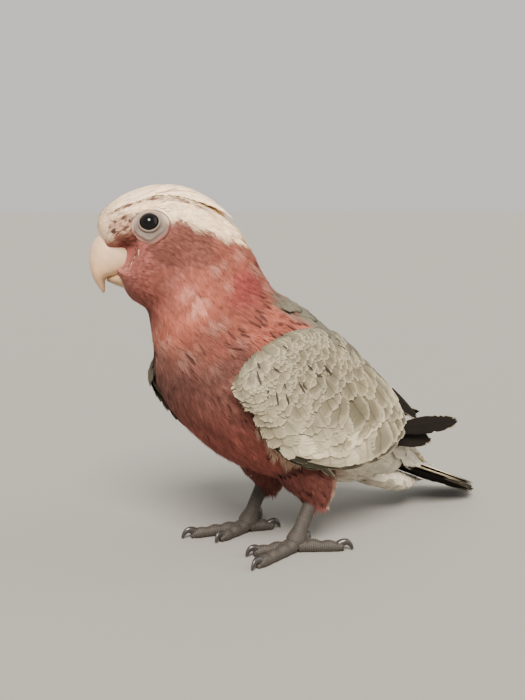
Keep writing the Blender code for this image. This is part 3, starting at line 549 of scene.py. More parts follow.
def add_piece(name, shape, finish, nodes=()):
    """Puts the arrays into a mesh object at the origin, and gives it its place in the frame."""
    points = (np.concatenate(shape.points) - ORIGIN) * MM
    quads, tris = np.concatenate(shape.quads), np.concatenate(shape.tris).astype(int)
    corners = np.concatenate([quads.ravel(), tris.ravel()]).astype(np.int32)
    starts = np.concatenate([np.arange(len(quads)) * 4,
                             len(quads) * 4 + np.arange(len(tris)) * 3]).astype(np.int32)
    mesh = bpy.data.meshes.new(name)
    mesh.vertices.add(len(points))
    mesh.vertices.foreach_set("co", points.astype(np.float32).ravel())
    mesh.loops.add(len(corners))
    mesh.loops.foreach_set("vertex_index", corners)
    mesh.polygons.add(len(starts))
    mesh.polygons.foreach_set("loop_start", starts)
    mesh.update(calc_edges=True)
    mesh.shade_smooth()
    tints = np.ones((len(points), 4), np.float32)
    tints[:, :3] = np.clip(np.concatenate(shape.colours), 0, 1)
    marks = mesh.color_attributes.new("Marking", "FLOAT_COLOR", "POINT")
    marks.data.foreach_set("color", tints.ravel())
    for layer, values in (("OFBake", shape.patches), ("Vane", shape.vanes)):
        flat = np.concatenate(values)[corners].astype(np.float32)
        mesh.uv_layers.new(name=layer).data.foreach_set("uv", flat.ravel())
    mesh.validate()
    mesh.materials.append(finish)
    obj = new_object(name, mesh)
    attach(obj, "root")
    if nodes:
        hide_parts(*nodes)


def unwrap(s, angle):
    """Where a place of the body lies on the unrolled skin: round the body, and along it."""
    s, angle = floats(s, angle)
    return np.stack([0.5 + angle / (2 * np.pi) * 0.96, 0.02 + 0.096 * s], -1)


# ================================================================ markings
def wobble(points, span):
    """A smooth uneven number about 0, from waves of three lengths over the place."""
    x, y, z = (points[..., i] / span for i in range(3))
    return (np.sin(2.1 * x + 1.3 * z + 0.7 * y) + np.sin(3.7 * z - 2.9 * x + 1.9 * y)
            + 0.7 * np.sin(7.3 * x + 5.1 * z - 4.7 * y)) / 2.7


def away_from(patch, a, b):
    """How many half sizes of a patch its middle lies away, along each of the two ways."""
    middle, half = patch
    return (a - middle[0]) / half[0], (b - middle[1]) / half[1]


def marking(s, angle):
    """The plumage's colour at a place of the body, from its unturned form."""
    s, angle = floats(s, angle)
    place = TRUNK.point(s, angle)
    x, z = place[..., 0], place[..., 2]
    round_it = degrees_round(angle)
    uneven, fine = wobble(place, 9.0), wobble(place, 3.2)
    pale = smooth_step(0.0, 0.8, wobble(place + 20, 6.4)) * smooth_step(70, 96, z)
    cheek = smooth_step(2.9, 2.3, s + 0.2 * uneven + 0.012 * (146 - z))
    ear = sum(np.abs(way) ** EAR_SQUARENESS for way in away_from(EAR_PATCH, x, z))
    ear = ear ** (1 / EAR_SQUARENESS) + 0.07 * fine
    hot = np.hypot(*away_from(HOT_PATCH, s, round_it)) + 0.12 * fine
    cap_level = CAP_LEVEL - CAP_FALL * np.maximum(x - CAP_FALLS_FROM, 0)
    cap_level = cap_level - CAP_FRONT_DROP * smooth_step(-60, -67, x)
    cap_level = cap_level + 1.3 * uneven + 0.8 * fine
    cap = smooth_step(-1.4, 2.0, z - cap_level) * smooth_step(4.6, 3.9, s + 0.1 * uneven)
    blush = smooth_step(-58, -74, x) * smooth_step(2.2, 1.2, s)
    lores = np.hypot(*away_from(LORES_PATCH, x, z)) + 0.16 * fine
    redder = 0.65 + 0.3 * smooth_step(147, 139, z + fine)
    pins = smooth_step(0.10, 0.35, wobble(place, 0.8)) * smooth_step(1.45, 1.0, lores)
    # A dark line round the top of the eye ring: painted shadow of the gap between the ring and
    # the brow feathers.
    brow = hump(ring_distance(place), 1.0, 0.06) * smooth_step(-1.0, 3.0, z - EYE_RING_AT[1])
    # A dark spot at the nostril: painted shade in its hole.
    nostril = np.hypot(x - NOSTRIL_AT[0], z - NOSTRIL_AT[1])
    cere = smooth_step(6.5, 2.0, np.abs(z - CERE_HEIGHT) + 0.5 * fine) * smooth_step(2.0, 1.4, s)
    # The parting line along the crest's edge: the pink bases there, darkened as painted shadow
    # under the raised crest.
    parting = hump(round_it, PARTING_AT + 0.6 * fine, 2.6)
    parting = parting * smooth_step(1.0, 1.4, s) * smooth_step(3.7, 3.2, s)
    coral = np.hypot(*away_from(SHOULDER_PATCH, s, round_it)) + 0.1 * fine
    tints = painted(
        colour("neck"),
        (colour("rose"), smooth_step(106, 86, z + 6 * uneven)),
        # The belly's tint is lighter than the breast's: painted light against the shade under
        # the body.
        (colour("belly"), smooth_step(78, 52, z + 4 * uneven)),
        (colour("blush"), 0.42 * pale),
        (colour("cheek"), np.maximum(cheek, 0.5 * smooth_step(4, 3.2, s))),
        (colour("ear"), 0.96 * smooth_step(1.06, 0.9, ear)),
        (colour("hot"), 0.8 * smooth_step(1.15, 0.6, hot)),
        (colour("cream"), cap),
        (colour("blush"), 0.35 * blush),
        (colour("lores"), redder * smooth_step(1.3, 0.75, lores)),
        (colour("ear", 0.3), 0.9 * pins),
        (colour("ear", 0.25), np.clip(brow * (0.9 + 0.5 * fine), 0, 1)),
        (colour("ear", 0.12), 0.9 * smooth_step(1.5, 0.9, nostril)),
        (colour("hot"), 0.35 * cere),
        (colour("cheek", 0.4), parting),
        (colour("coral"), smooth_step(1.25, 0.7, coral)),
    )
    bands = smooth_step(3.6, 4.0, s) * smooth_step(6.2, 5.7, s) * (round_it > 40)
    bands = 0.15 * bands * np.cos(2 * np.pi * (s - 4.1 + 0.1 * uneven) / BAND_LENGTH)
    chin = smooth_step(60, 110, round_it) * smooth_step(3.0, 3.6, s) * smooth_step(5.0, 4.4, s)
    above = smooth_step(57, 47, round_it + 4 * fine)
    vent = smooth_step(20, 34, x + 3 * uneven) * smooth_step(80, 120, round_it)
    tints = painted(
        tints * ((1 + bands) * (1 + 0.5 * chin))[..., None],
        (colour("mantle"), above * smooth_step(4.95, 5.35, s + 0.12 * uneven)),
        (colour("rump"), np.maximum(vent, smooth_step(8.2, 8.9, s))),
    )
    return tints * (1 + 0.06 * uneven + 0.05 * fine)[..., None]


# ================================================================ feathers
def moves_at(form, p, q, heading, side=1.0):
    """How far (p, q) move for 1 mm along the lie, and for 1 mm across it.

    The lie starts along growing p and is turned by heading towards growing q.
    """
    by_p, by_q = slopes_at(form, p, q)
    pp, pq, qq = (by_p**2).sum(-1), (by_p * by_q).sum(-1), (by_q**2).sum(-1)
    apart = np.sqrt(np.maximum(qq - pq**2 / pp, 1e-9))
    ahead = np.stack([1 / np.sqrt(pp), np.zeros_like(pp)], -1)
    across = np.stack([-pq / (pp * apart), 1 / apart], -1)
    c, s = np.cos(heading)[..., None], (np.sin(heading) * side)[..., None]
    return ahead * c + across * s, across * c - ahead * s


def everywhere(p, q):
    return 1.0


def scatter(form, spacing, p_range, q_range, keep, rng, cells=150):
    """Places (p, q) spread evenly over the form, none nearer to another than the spacing.

    Random places are drawn by area and by keep, and each one removes those close to it.
    """
    p, q = (np.linspace(*span, cells + 1) for span in (p_range, q_range))
    mid_p, mid_q = np.meshgrid((p[1:] + p[:-1]) / 2, (q[1:] + q[:-1]) / 2, indexing="ij")
    area = np.linalg.norm(np.cross(*slopes_at(form, mid_p, mid_q)), axis=-1)
    area = area * (p[1] - p[0]) * (q[1] - q[0])
    share = (area / spacing(mid_p, mid_q) ** 2 * keep(mid_p, mid_q)).ravel()
    count = int(share.sum() * 5)
    chosen = rng.choice(share.size, count, p=share / share.sum())
    place = rng.random((count, 2)) - 0.5
    p = mid_p.ravel()[chosen] + place[:, 0] * (p[1] - p[0])
    q = mid_q.ravel()[chosen] + place[:, 1] * (q[1] - q[0])
    points, gap = form.point(p, q), np.broadcast_to(spacing(p, q), p.shape)
    tree = KDTree(count)
    for i, point in enumerate(points):
        tree.insert(point, i)
    tree.balance()
    alive = np.ones(count, bool)
    for i in range(count):
        if alive[i]:
            for _, j, _ in tree.find_range(points[i], gap[i]):
                if j > i:
                    alive[j] = False
    return p[alive], q[alive]


def bake_patch(root, across, along):
    """A feather's own small patch of the unrolled skin, about its root."""
    return root + np.stack(floats(across * 0.5, along - 0.5), -1) * PATCH


def vane_map(across, along):
    return np.stack(floats(across * 0.5 + 0.5, along), -1)


def add_on_form(shape, form, roots, along, across, height, u, v, tints, quads):
    """Adds feathers from how far their points lie along, across and over the form.

    roots holds the place, side, heading and depth of each. A feather's own map runs from -1
    to 1 across it (u) and from 0 to 1 along it (v).
    """
    p, q, side, heading, depth = roots
    deep = (slice(None),) + (None,) * (v.ndim - 1)
    ahead, aside = moves_at(form, p, q, heading, side)
    pq = np.stack([p, q], -1)[deep] + along[..., None] * ahead[deep]
    pq = pq + across[..., None] * aside[deep]
    points = form.point(pq[..., 0], pq[..., 1], np.maximum(height, -depth[deep]))
    patch = bake_patch(unwrap(*form.roots(p, q))[deep], np.clip(u, -1, 1), np.clip(v, 0, 1))
    shape.add(points, quads, tints, patch, vane_map(u, v))


def add_tufts(shape, form, p, q, side, heading, reach, width, depth, tints, rng,
              barbs=7, rows=4, lift=0.3, ruffle=0.2, streak=0.06, clump=0.08,
              root_tone=0.76):
    """Soft feathers: each is a fan of barbs that touch at their roots and part at their tips.

    A barb is a strip that starts part of the way up the feather, runs outwards by its own
    number, narrows to its tip, and rises from the skin to just over the form.
    """
    p, q, side, heading, reach, width, depth = floats(p, q, side, heading, reach, width, depth)
    n = len(p)
    deep = (slice(None),) + (None,) * 3
    number = np.linspace(-1, 1, barbs)
    t = np.linspace(0, 1, rows)
    end = (1 - TUFT_BLUNT * number**2) * (1 + 0.08 * rng.standard_normal((n, barbs)))
    start = TUFT_START * np.abs(number)
    along = start[..., None] + (end - start)[..., None] * t
    sway = TUFT_SWAY * rng.standard_normal((n, barbs))[..., None] * t**2
    bend = TUFT_BEND * rng.standard_normal((n, 1, 1)) * t**2
    spread = TUFT_ROOT_SPREAD + (1 - TUFT_ROOT_SPREAD) * t**0.8
    middle = number[:, None] * spread + sway + bend
    half = (TUFT_BARB_WIDTH / barbs) * np.clip(1 - t**1.8, 0.04, 1)
    u = middle[..., None] + half[..., None] * HALVES
    v = np.broadcast_to(along[..., None], u.shape)
    stray = ruffle * rng.standard_normal((n, barbs))[..., None, None] * v**2
    tilt = 0.12 * width[deep] * rng.standard_normal((n, 1, 1, 1)) * u * v
    rise = depth[deep]
    height = -rise + rise * np.clip(v, 0, 1) ** 0.75 + (lift + stray) * v**2 + tilt
    shade = 1 + streak * rng.standard_normal((n, barbs, 1, 1))
    shade = shade + clump * rng.standard_normal((n, 1, 1, 1))
    # Darker towards the root: painted shade where each feather lies under the ones over it.
    # Paler at the tip for the feather's pale fringe.
    shade = shade * (root_tone + (1.07 - root_tone) * np.clip(v, 0, 1) ** 1.5)
    tints = np.broadcast_to(tints, (n, 3))[deep] * np.clip(shade, 0.3, 1.8)[..., None]
    add_on_form(shape, form, (p, q, side, heading, depth), reach[deep] * v,
                width[deep] * 0.5 * u, height, u, v, tints,
                repeated(grid_quads(rows, 2), n * barbs, rows * 2))


def vane_outline(t, blunt):
    """Half the vane's width at t of its length: narrow below, full past the middle, round."""
    rise = 0.42 + 0.58 * smooth_step(0, 0.55, t)
    return rise * np.sqrt(np.clip(1 - np.clip((t - blunt) / (1 - blunt), 0, 1) ** 2.2, 0, 1))


def add_feathers(shape, form, p, q, side, heading, reach, width, depth, tints, rng,
                 barbs=11, rows=3, lift=0.2, cup=0.25, lean=0.08, loose=0.05, blunt=0.55,
                 splits=0.3, root_tone=0.80, rim=None, rim_share=0.0):
    """Contour feathers: barbs slant out from a shaft to a round outline and lie side by side.

    A barb is a strip of a few quads. All of a feather's barbs follow one curved sheet, so
    they close up near the shaft and part a little at the outline; a split is a place where
    two neighbours lean apart. The arrays run over feathers, the halves of the vane, barbs,
    rows and the two edges of a barb.
    """
    p, q, side, heading, reach, width, depth = floats(p, q, side, heading, reach, width, depth)
    n = len(p)
    each, half_barb, whole = (n, 1, 1, 1, 1), (n, 2, barbs, 1, 1), (n, 2, barbs, rows, 2)
    deep = (slice(None),) + (None,) * 4
    loose, rim_share = (np.reshape(value, (-1, 1, 1, 1, 1)) for value in (loose, rim_share))
    rank = ((np.arange(barbs) + 0.5) / barbs)[:, None, None]
    r = (1 - (1 - np.linspace(0, 1, rows)) ** 1.7)[:, None]
    slant = (BARB_SLANT * width / reach)[deep] * (1 - 0.45 * rank**3)
    gap = BARB_GAP / barbs
    root_v = BARB_FIRST + BARB_REACH * rank
    parted = rng.random((n, 2, 1, 1, 1))
    apart = np.tanh((rank - SPLITS_FROM - 0.6 * parted) * SPLIT_EDGE)
    opened = splits * gap * apart * (rng.random((n, 2, 1, 1, 1)) < SPLIT_CHANCE)
    jitter = 1 + loose * rng.standard_normal(half_barb)
    middle = root_v + (slant * jitter + opened) * r
    thick = BARB_SHARE * gap * (1 - BARB_TAPER * smooth_step(0.6, 1.0, r)) * HALVES
    v = np.clip(np.broadcast_to(middle + thick, whole), 0, 1.02)
    ends = root_v + slant + BARB_SHARE * gap * (1 - BARB_TAPER) * HALVES
    reach_out = np.maximum(vane_outline(np.clip(ends, 0, 0.985), blunt), LEAST_VANE)
    reach_out = reach_out * (1 + loose * rng.standard_normal(half_barb))
    wide = np.broadcast_to(HALVES[:, None, None, None] * r * reach_out, whole)
    bend = 0.10 * rng.standard_normal(each) * v**2
    rise = depth[deep]
    height = -rise + rise * v**0.7 + lift * v**2 - cup * wide**2 * v + lean * wide
    height = height + 0.10 * rng.standard_normal(each) * v
    uneven = 0.012 * (np.arange(barbs) % 2)[:, None, None]
    height = height + uneven + 0.015 * rng.standard_normal(half_barb) * r
    tone = 1 + 0.045 * rng.standard_normal(each)
    tone = tone + 0.03 * rng.standard_normal(half_barb)
    # Darker towards the root: painted shade where each feather lies under the ones over it. A
    # little paler towards the tip.
    tone = tone * (root_tone + (1.04 - root_tone) * np.clip(v, 0, 1))
    tints = np.broadcast_to(tints, (n, 3))[deep] * tone[..., None]
    if rim is not None:
        near_rim = np.maximum(r**4, smooth_step(0.86, 1.0, v)) * smooth_step(0.15, 0.5, v)
        tints = mixed(tints, np.reshape(rim, (-1, 1, 1, 1, 1, 3)), near_rim * rim_share)
    quads = grid_quads(rows, 2)
    both = np.concatenate([quads, quads[:, ::-1] + barbs * rows * 2])
    one = np.concatenate([both + j * rows * 2 for j in range(barbs)])
    add_on_form(shape, form, (p, q, side, heading, depth), reach[deep] * v,
                width[deep] * 0.5 * (wide + bend), height, wide, v, tints,
                repeated(one, n, 2 * barbs * rows * 2))


def blade_shape(shape, root, heading, upward, reach, half_width, tints, rng, fray,
                thick=0.45, streak=None, streak_side=1):
    """One long flight or tail feather: a thin closed plate with a shaft, splits and a worn end.

    Its half width rises to full by 0.6 of its length and rounds off at its end. A split is a
    narrow gap whose depth falls off from the edge inwards.
    """
    heading = unit(heading)
    upward = unit(upward - heading * (upward @ heading))
    outward = np.cross(heading, upward)
    t = (1 - (1 - np.linspace(0, 1, BLADE_ROWS)) ** 1.3)[:, None]
    u = np.linspace(-1, 1, BLADE_COLUMNS)
    v = t * (1 - fray * rng.random(BLADE_COLUMNS) * t**6)
    width = half_width * (0.45 + 0.55 * smooth_step(0, 0.6, v))
    width = width * np.sqrt(np.clip(1.02 - v**7, 0.05, 1))
    for _ in range(BLADE_SPLITS):
        at, side_of = 0.45 + 0.5 * rng.random(), rng.choice([-1, 1])
        near = hump(t, at, 0.018) * (u * side_of > 0.3)
        width = width * (1 - 0.22 * near * np.abs(u))
    shaft = 0.35 * hump(u, 0, 0.09) * (1 - 0.7 * v)
    camber = -0.10 * half_width * u**2
    top = root + heading * (v * reach)[..., None]
    top = top + outward * (width * u)[..., None] + upward * (camber + shaft)[..., None]
    under = top - upward * (thick * (1 - 0.75 * np.abs(u) ** 2) + shaft)[..., None]
    tints = np.broadcast_to(tints, (*v.shape, 3))
    if streak is not None:
        pale = smooth_step(0.0, 0.3, u * streak_side) * smooth_step(0.85, 0.55, v)
        tints = mixed(tints, streak, pale)
    tints = there_and_back(tints, tints) * (1 + 0.10 * rng.standard_normal())
    span, v = np.concatenate([u, u[::-1]]), there_and_back(v, v)
    patch = unwrap(9.5 + 0.04 * rng.standard_normal(), 0.4 * rng.standard_normal())
    shape.add_closed(there_and_back(top, under), tints, bake_patch(patch, span, v),
                     vane_map(span, v))


# ================================================================ shader nodes
class Tree:
    """Adds nodes to a node tree: a socket given as a value is linked, a plain value is set."""

    def __init__(self, tree):
        self.tree = tree

    def feed(self, sockets, values):
        for key, value in values.items():
            if isinstance(value, bpy.types.NodeSocket):
                self.tree.links.new(value, sockets[key])
            else:
                sockets[key].default_value = value

    def add(self, kind, inputs=None, **settings):
        node = self.tree.nodes.new(kind)
        for key, value in settings.items():
            setattr(node, key, value)
        self.feed(node.inputs, inputs or {})
        return node

    def sum(self, operation, a, b=0.0, c=0.0):
        return self.add("ShaderNodeMath", {0: a, 1: b, 2: c}, operation=operation).outputs[0]

    def noise(self, place, scale, detail, roughness=0.5):
        inputs = {"Vector": place, "Scale": scale, "Detail": detail, "Roughness": roughness}
        return self.add("ShaderNodeTexNoise", inputs).outputs["Fac"]

    def ramp(self, value, low, high, to_low=0.0, to_high=1.0):
        inputs = {"Value": value, "From Min": low, "From Max": high, "To Min": to_low,
                  "To Max": to_high}
        return self.add("ShaderNodeMapRange", inputs).outputs["Result"]

    def mix(self, factor, a, b, blend="MIX"):
        a, b = (value if isinstance(value, bpy.types.NodeSocket) else (*value, 1.0)
                for value in (a, b))
        node = self.add("ShaderNodeMix", data_type="RGBA", blend_type=blend)
        self.feed(node.inputs, {0: factor, 6: a, 7: b})
        return node.outputs[2]

    def shaded(self, base, tone):
        """The colour times a grey tone."""
        grey = self.add("ShaderNodeCombineXYZ", {0: tone, 1: tone, 2: tone}).outputs[0]
        return self.mix(1.0, base, grey, "MULTIPLY")


def new_group(name, inputs, outputs):
    """A shader node group with named sockets."""
    group = bpy.data.node_groups.new(name, "ShaderNodeTree")
    for label, kind, default in inputs:
        made = group.interface.new_socket(label, in_out="INPUT", socket_type=kind)
        if default is not None:
            made.default_value = default
    for label, kind in outputs:
        group.interface.new_socket(label, in_out="OUTPUT", socket_type=kind)
    tree = Tree(group)
    return group, tree, tree.add("NodeGroupInput").outputs, tree.add("NodeGroupOutput").inputs


def vane_group():
    """Barbs, shaft and edge of a feather, from its own map: across in X and along in Y."""
    if "Vane Detail" in bpy.data.node_groups:
        return bpy.data.node_groups["Vane Detail"]
    group, tree, given, out = new_group(
        "Vane Detail",
        (("Map", "NodeSocketVector", None), ("Barbs", "NodeSocketFloat", 30.0),
         ("Slant", "NodeSocketFloat", 0.6), ("Edge", "NodeSocketFloat", 0.2)),
        (("Edge", "NodeSocketFloat"), ("Shaft", "NodeSocketFloat"),
         ("Barbs", "NodeSocketFloat"), ("Height", "NodeSocketFloat")),
    )
    parts = tree.add("ShaderNodeSeparateXYZ", {0: given["Map"]})
    across = tree.sum("ABSOLUTE", tree.sum("MULTIPLY_ADD", parts.outputs[0], 2.0, -1.0))
    along = parts.outputs[1]
    slanted = tree.sum("MULTIPLY_ADD", across, tree.sum("MULTIPLY", given["Slant"], -1.0),
                       along)
    uneven = tree.noise(given["Map"], 9.0, 3.0)
    phase = tree.sum("MULTIPLY_ADD", slanted, given["Barbs"], tree.sum("MULTIPLY", uneven, 3.0))
    wave = tree.sum("SINE", tree.sum("MULTIPLY", phase, 2 * math.pi))
    barbs = tree.sum("MULTIPLY_ADD", wave, 0.5, 0.5)
    outer = tree.sum("POWER", across, 3.0)
    far = tree.sum("ADD", tree.sum("MULTIPLY", outer, 0.9), tree.sum("POWER", along, 6.0))
    edge = tree.ramp(tree.sum("MULTIPLY_ADD", uneven, 0.25, far),
                     tree.sum("SUBTRACT", 1.12, given["Edge"]), 1.12)
    shaft = tree.ramp(across, 0.07, 0.03)
    height = tree.sum("MULTIPLY_ADD", barbs, 0.35, shaft)
    tree.feed(out, {"Edge": edge, "Shaft": shaft, "Barbs": barbs, "Height": height})
    return group


def mottle_group():
    """A colour made uneven by noise over the object."""
    if "Mottle" in bpy.data.node_groups:
        return bpy.data.node_groups["Mottle"]
    group, tree, given, out = new_group(
        "Mottle",
        (("Colour", "NodeSocketColor", None), ("Size", "NodeSocketFloat", 0.004),
         ("Strength", "NodeSocketFloat", 0.2)),
        (("Colour", "NodeSocketColor"), ("Height", "NodeSocketFloat")),
    )
    place = tree.add("ShaderNodeTexCoord").outputs["Object"]
    noise = tree.noise(place, tree.sum("DIVIDE", 1.0, given["Size"]), 5.0, 0.6)
    low = tree.sum("SUBTRACT", 1.0, given["Strength"])
    high = tree.sum("ADD", 1.0, given["Strength"])
    made = tree.shaded(given["Colour"], tree.ramp(noise, 0.3, 0.7, low, high))
    tree.feed(out, {"Colour": made, "Height": noise})
    return group


def new_material(name, **settings):
    """A material, its nodes and its shader, whose inputs are named with underscores."""
    material = bpy.data.materials.new(name)
    material.use_nodes = True
    shader = material.node_tree.nodes["Principled BSDF"]
    for key, value in settings.items():
        shader.inputs[key.replace("_", " ")].default_value = value
    return material, Tree(material.node_tree), shader.inputs


def finish_surface(tree, inputs, base, patch_size, strength, height, distance, bump):
    """Gives the shader its mottled colour, and a bump from a height."""
    mottled = tree.add("ShaderNodeGroup", {"Colour": base, "Size": patch_size,
                                           "Strength": strength}, node_tree=mottle_group())
    raised = tree.add("ShaderNodeBump", {"Height": height, "Distance": distance,
                                         "Strength": bump})
    tree.feed(inputs, {"Base Color": mottled.outputs["Colour"],
                       "Normal": raised.outputs["Normal"]})


def feather_material(name, edge_tint=None, edge=0.2, edge_share=0.7, barbs=30.0, slant=0.6,
                     roughness=0.75, streak=0.12, bump=0.25, specular=0.35):
    """Feather: the marking, paler at the vane's edge, with barbs, a shaft and a soft sheen."""
    if name in bpy.data.materials:
        return bpy.data.materials[name]
    material, tree, inputs = new_material(name, Roughness=roughness,
                                          Specular_IOR_Level=specular)
    base = tree.add("ShaderNodeAttribute", attribute_name="Marking").outputs["Color"]
    own_map = tree.add("ShaderNodeUVMap", uv_map="Vane").outputs["UV"]
    vane = tree.add("ShaderNodeGroup", {"Map": own_map, "Barbs": barbs, "Slant": slant,
                                        "Edge": edge}, node_tree=vane_group()).outputs
    if edge_tint is not None:
        base = tree.mix(tree.sum("MULTIPLY", vane["Edge"], edge_share), base, edge_tint)
    base = tree.shaded(base, tree.ramp(vane["Barbs"], 0.0, 1.0, 1 - streak, 1 + streak))
    base = tree.mix(vane["Shaft"], base, tree.mix(1.0, base, SHAFT_TONE, "MULTIPLY"))
    finish_surface(tree, inputs, base, 0.004, 0.10, vane["Height"], 0.0003, bump)
    return material


def marked_material(name, roughness, strength=0.15, grain=0.001, bump=0.3, coat=0.0,
                    specular=0.5):
    """A surface coloured by its marking, mottled, with a fine grain."""
    if name in bpy.data.materials:
        return bpy.data.materials[name]
    material, tree, inputs = new_material(name, Roughness=roughness, Coat_Weight=coat,
                                          Specular_IOR_Level=specular)
    mark = tree.add("ShaderNodeAttribute", attribute_name="Marking").outputs["Color"]
    place = tree.add("ShaderNodeTexCoord").outputs["Object"]
    fine = tree.noise(place, 1 / grain, 4.0)
    finish_surface(tree, inputs, mark, grain * 4, strength, fine, 0.0002, bump)
    return material


# ================================================================ the bill and the eye rings
def station_rings(stations, rows, around):
    """Rings of points round the form of these stations, with the head's turn."""
    s = np.linspace(0, len(stations) - 1, rows)[:, None]
    return turn_head(Loft(stations).point(s, closed_angles(around)))


def outside_bill(points):
    """Which points lie outside both halves of the bill, by the side of the nearest face."""
    free = np.ones(len(points), bool)
    for stations in (UPPER_BILL, LOWER_BILL):
        rings = station_rings(stations, 40, 40).reshape(-1, 3)
        tree = BVHTree.FromPolygons(rings.tolist(), grid_quads(40, 40, True).tolist())
        middle = Vector(rings.mean(0))
        for i, point in enumerate(points):
            near, normal, _, gap = tree.find_nearest(point)
            if gap < 14 and (near - middle).dot(normal) < 0:
                normal = -normal
            if (Vector(point) - near).dot(normal) < 0.15:
                free[i] = False
    return free


def ring_distance(points):
    """How many times the eye ring's half size a point of the unturned head lies from it."""
    best = np.full(points.shape[:-1], 9.0)
    for _, sign in SIDES:
        spot = HEAD.spot(*EYE_RING_AT, sign)
        ahead, above, _ = HEAD.axes_at(spot)
        offset = points - HEAD.point(*spot)
        away = np.hypot(offset @ ahead / EYE_RING_HALF[0], offset @ above / EYE_RING_HALF[1])
        best = np.where(points[..., 1] * sign > 3, np.minimum(best, away), best)
    return best


# ================================================================ makers
class MakeSkin(bpy.types.Operator):
    """Makes the one skin that lies under the feathers of the head, body, wings and thighs"""

    bl_idname = "galah.make_skin"
    bl_label = "Skin"

    def execute(self, context):
        shape = Shape()
        s, angle = np.linspace(0, 10, SKIN_ROWS)[:, None], closed_angles(SKIN_AROUND, -np.pi)
        # The skin takes the plumage's marking a little darker, and darker still under the body's
        # longer feathers: painted shade in the gaps between the feathers.
        tints = marking(s, angle) * (0.95 - 0.3 * smooth_step(4, 6, s))[..., None]
        shape.add_closed(BODY.point(s, angle, -skin_depth(s)), tints, unwrap(s, angle))
        for _, sign in SIDES:
            wing = Wing(sign)
            a, d = np.meshgrid(np.linspace(0.03, 0.98, 40), np.linspace(0.04, 0.97, 36),
                               indexing="ij")
            plate = there_and_back(wing.point(a, d, -WING_SKIN_DEPTH),
                                   wing.point(a, d, -WING_SKIN_DEPTH - WING_SKIN_THICK))
            patch = unwrap(*wing.roots(a, d))
            # The skins under the wings, thighs and tail coverts take their plumage colours
            # darkened to about half: painted shade in the gaps between the feathers.
            shape.add_closed(plate, colour("wing", 0.5), there_and_back(patch, patch))
            t = np.linspace(0.02, 0.99, LIMB_ROWS)[:, None]
            shape.add_closed(Thigh(sign).point(t, angle, -LIMB_SKIN_DEPTH),
                             colour("belly", 0.4), unwrap(7.4, -sign * 2.0))
        for stations in (UNDERTAIL_COVERTS, UPPERTAIL_COVERTS):
            t = np.linspace(0, 3, LIMB_ROWS)[:, None]
            shape.add_closed(Loft(stations).point(t, angle, -COVERT_SKIN_DEPTH),
                             colour("rump", 0.6), unwrap(9.6, 0.0))
        nodes = ["head", "neck", "trunk", "rump", "undertail_coverts", "uppertail_coverts"]
        nodes += [f"{name}_{side}" for name in ("thigh", "wing_coverts") for side, _ in SIDES]
        skin = marked_material("Skin", 0.85, strength=0.2)
        add_piece("skin", shape, skin, nodes)
        return {"FINISHED"}


def skin_depth(s):
    """How far the skin lies under the solids: thin on the face, deep on the body."""
    head = size("face_coat") + (size("head_coat") - size("face_coat")) * smooth_step(1.2, 3, s)
    return head + (size("body_coat") - size("head_coat")) * smooth_step(4, 6.2, s)


def body_coat(name, rng, s_range, spacing, reach, width, keep, finish, shadow_slits=0, **looks):
    """Feathers over a stretch of the body, kept clear of the eyes and the bill."""
    p, q = scatter(BODY, spacing, s_range, (-np.pi, np.pi), keep, rng)
    heading = lie_heading(p, q) + np.radians(7) * rng.standard_normal(len(p))
    reach = reach(p, q) * (1 + 0.12 * rng.standard_normal(len(p)))
    if s_range[0] < 3:
        p, q, heading, reach = trim_at_face(p, q, heading, reach)
    ahead, _ = moves_at(BODY, p, q, heading, np.sign(q))
    shown = np.stack([p, q], -1) + 0.6 * ahead * reach[:, None]
    shape = Shape()
    add_tufts(shape, BODY, p, q, np.sign(q), heading, reach, width(p, q), skin_depth(p),
              marking(shown[:, 0], shown[:, 1]), rng, rows=3, **looks)
    # Dark blades among the breast feathers: painted shadow of the gaps between them.
    if shadow_slits:
        p = 4.7 + 2.6 * rng.random(shadow_slits)
        q = np.where(rng.random(shadow_slits) < 0.5, -1, 1) * np.radians(45 + 100 * rng.random(shadow_slits))
        heading = lie_heading(p, q) + np.radians(18) * rng.standard_normal(shadow_slits)
        add_shadow_slits(shape, BODY, p, q, np.sign(q), heading, colour("cheek", 0.3), rng)
    add_piece(name, shape, finish)


def add_shadow_slits(shape, form, p, q, side, heading, tint, rng):
    """Painted shadow: thin dark narrow blades just above the coat, put where gaps between
    ruffled feathers would lie in shade.
    """
    n = len(p)
    add_feathers(shape, form, p, q, side, heading, 2.5 + 4 * rng.random(n),
                 0.6 + 0.4 * rng.random(n), SHADOW_SLIT_DEPTH,
                 tint * (0.6 + 1.4 * rng.random((n, 1))), rng, barbs=8, lift=0.55, cup=0,
                 lean=0)


def lie_heading(s, angle):
    """How far the feathers turn down from the line along the body: most on the cheeks."""
    round_it = np.degrees(np.abs(angle))
    cheek = smooth_step(60, 95, round_it) * smooth_step(150, 110, round_it)
    return np.radians(14) * cheek * smooth_step(4.6, 3.0, s) * smooth_step(0.5, 1.6, s)


def trim_at_face(p, q, heading, reach):
    """Drops the feathers rooted in the eye rings or the bill, and shortens those that would
    run into an eye ring."""

    def over_eye(points):
        return points[:, 2] > EYE_RING_AT[1] + 1

    roots = HEAD.point(p, q)
    free = ring_distance(roots) > np.where(over_eye(roots), 1.08, 0.80)
    near = p < 2.2
    free[near] &= outside_bill(turn_head(HEAD.point(p[near], q[near], -0.4)))
    p, q, heading, reach = (values[free] for values in (p, q, heading, reach))
    ahead, _ = moves_at(HEAD, p, q, heading, np.sign(q))
    for share in (1.0, 0.75, 0.5, 0.3):
        tip = np.stack([p, q], -1) + ahead * (reach * share)[:, None]
        ends = HEAD.point(tip[:, 0], tip[:, 1])
        inside = ring_distance(ends) < np.where(over_eye(ends), 1.10, 0.74)
        reach = np.where(inside, reach * 0.72, reach)
    return p, q, heading, reach


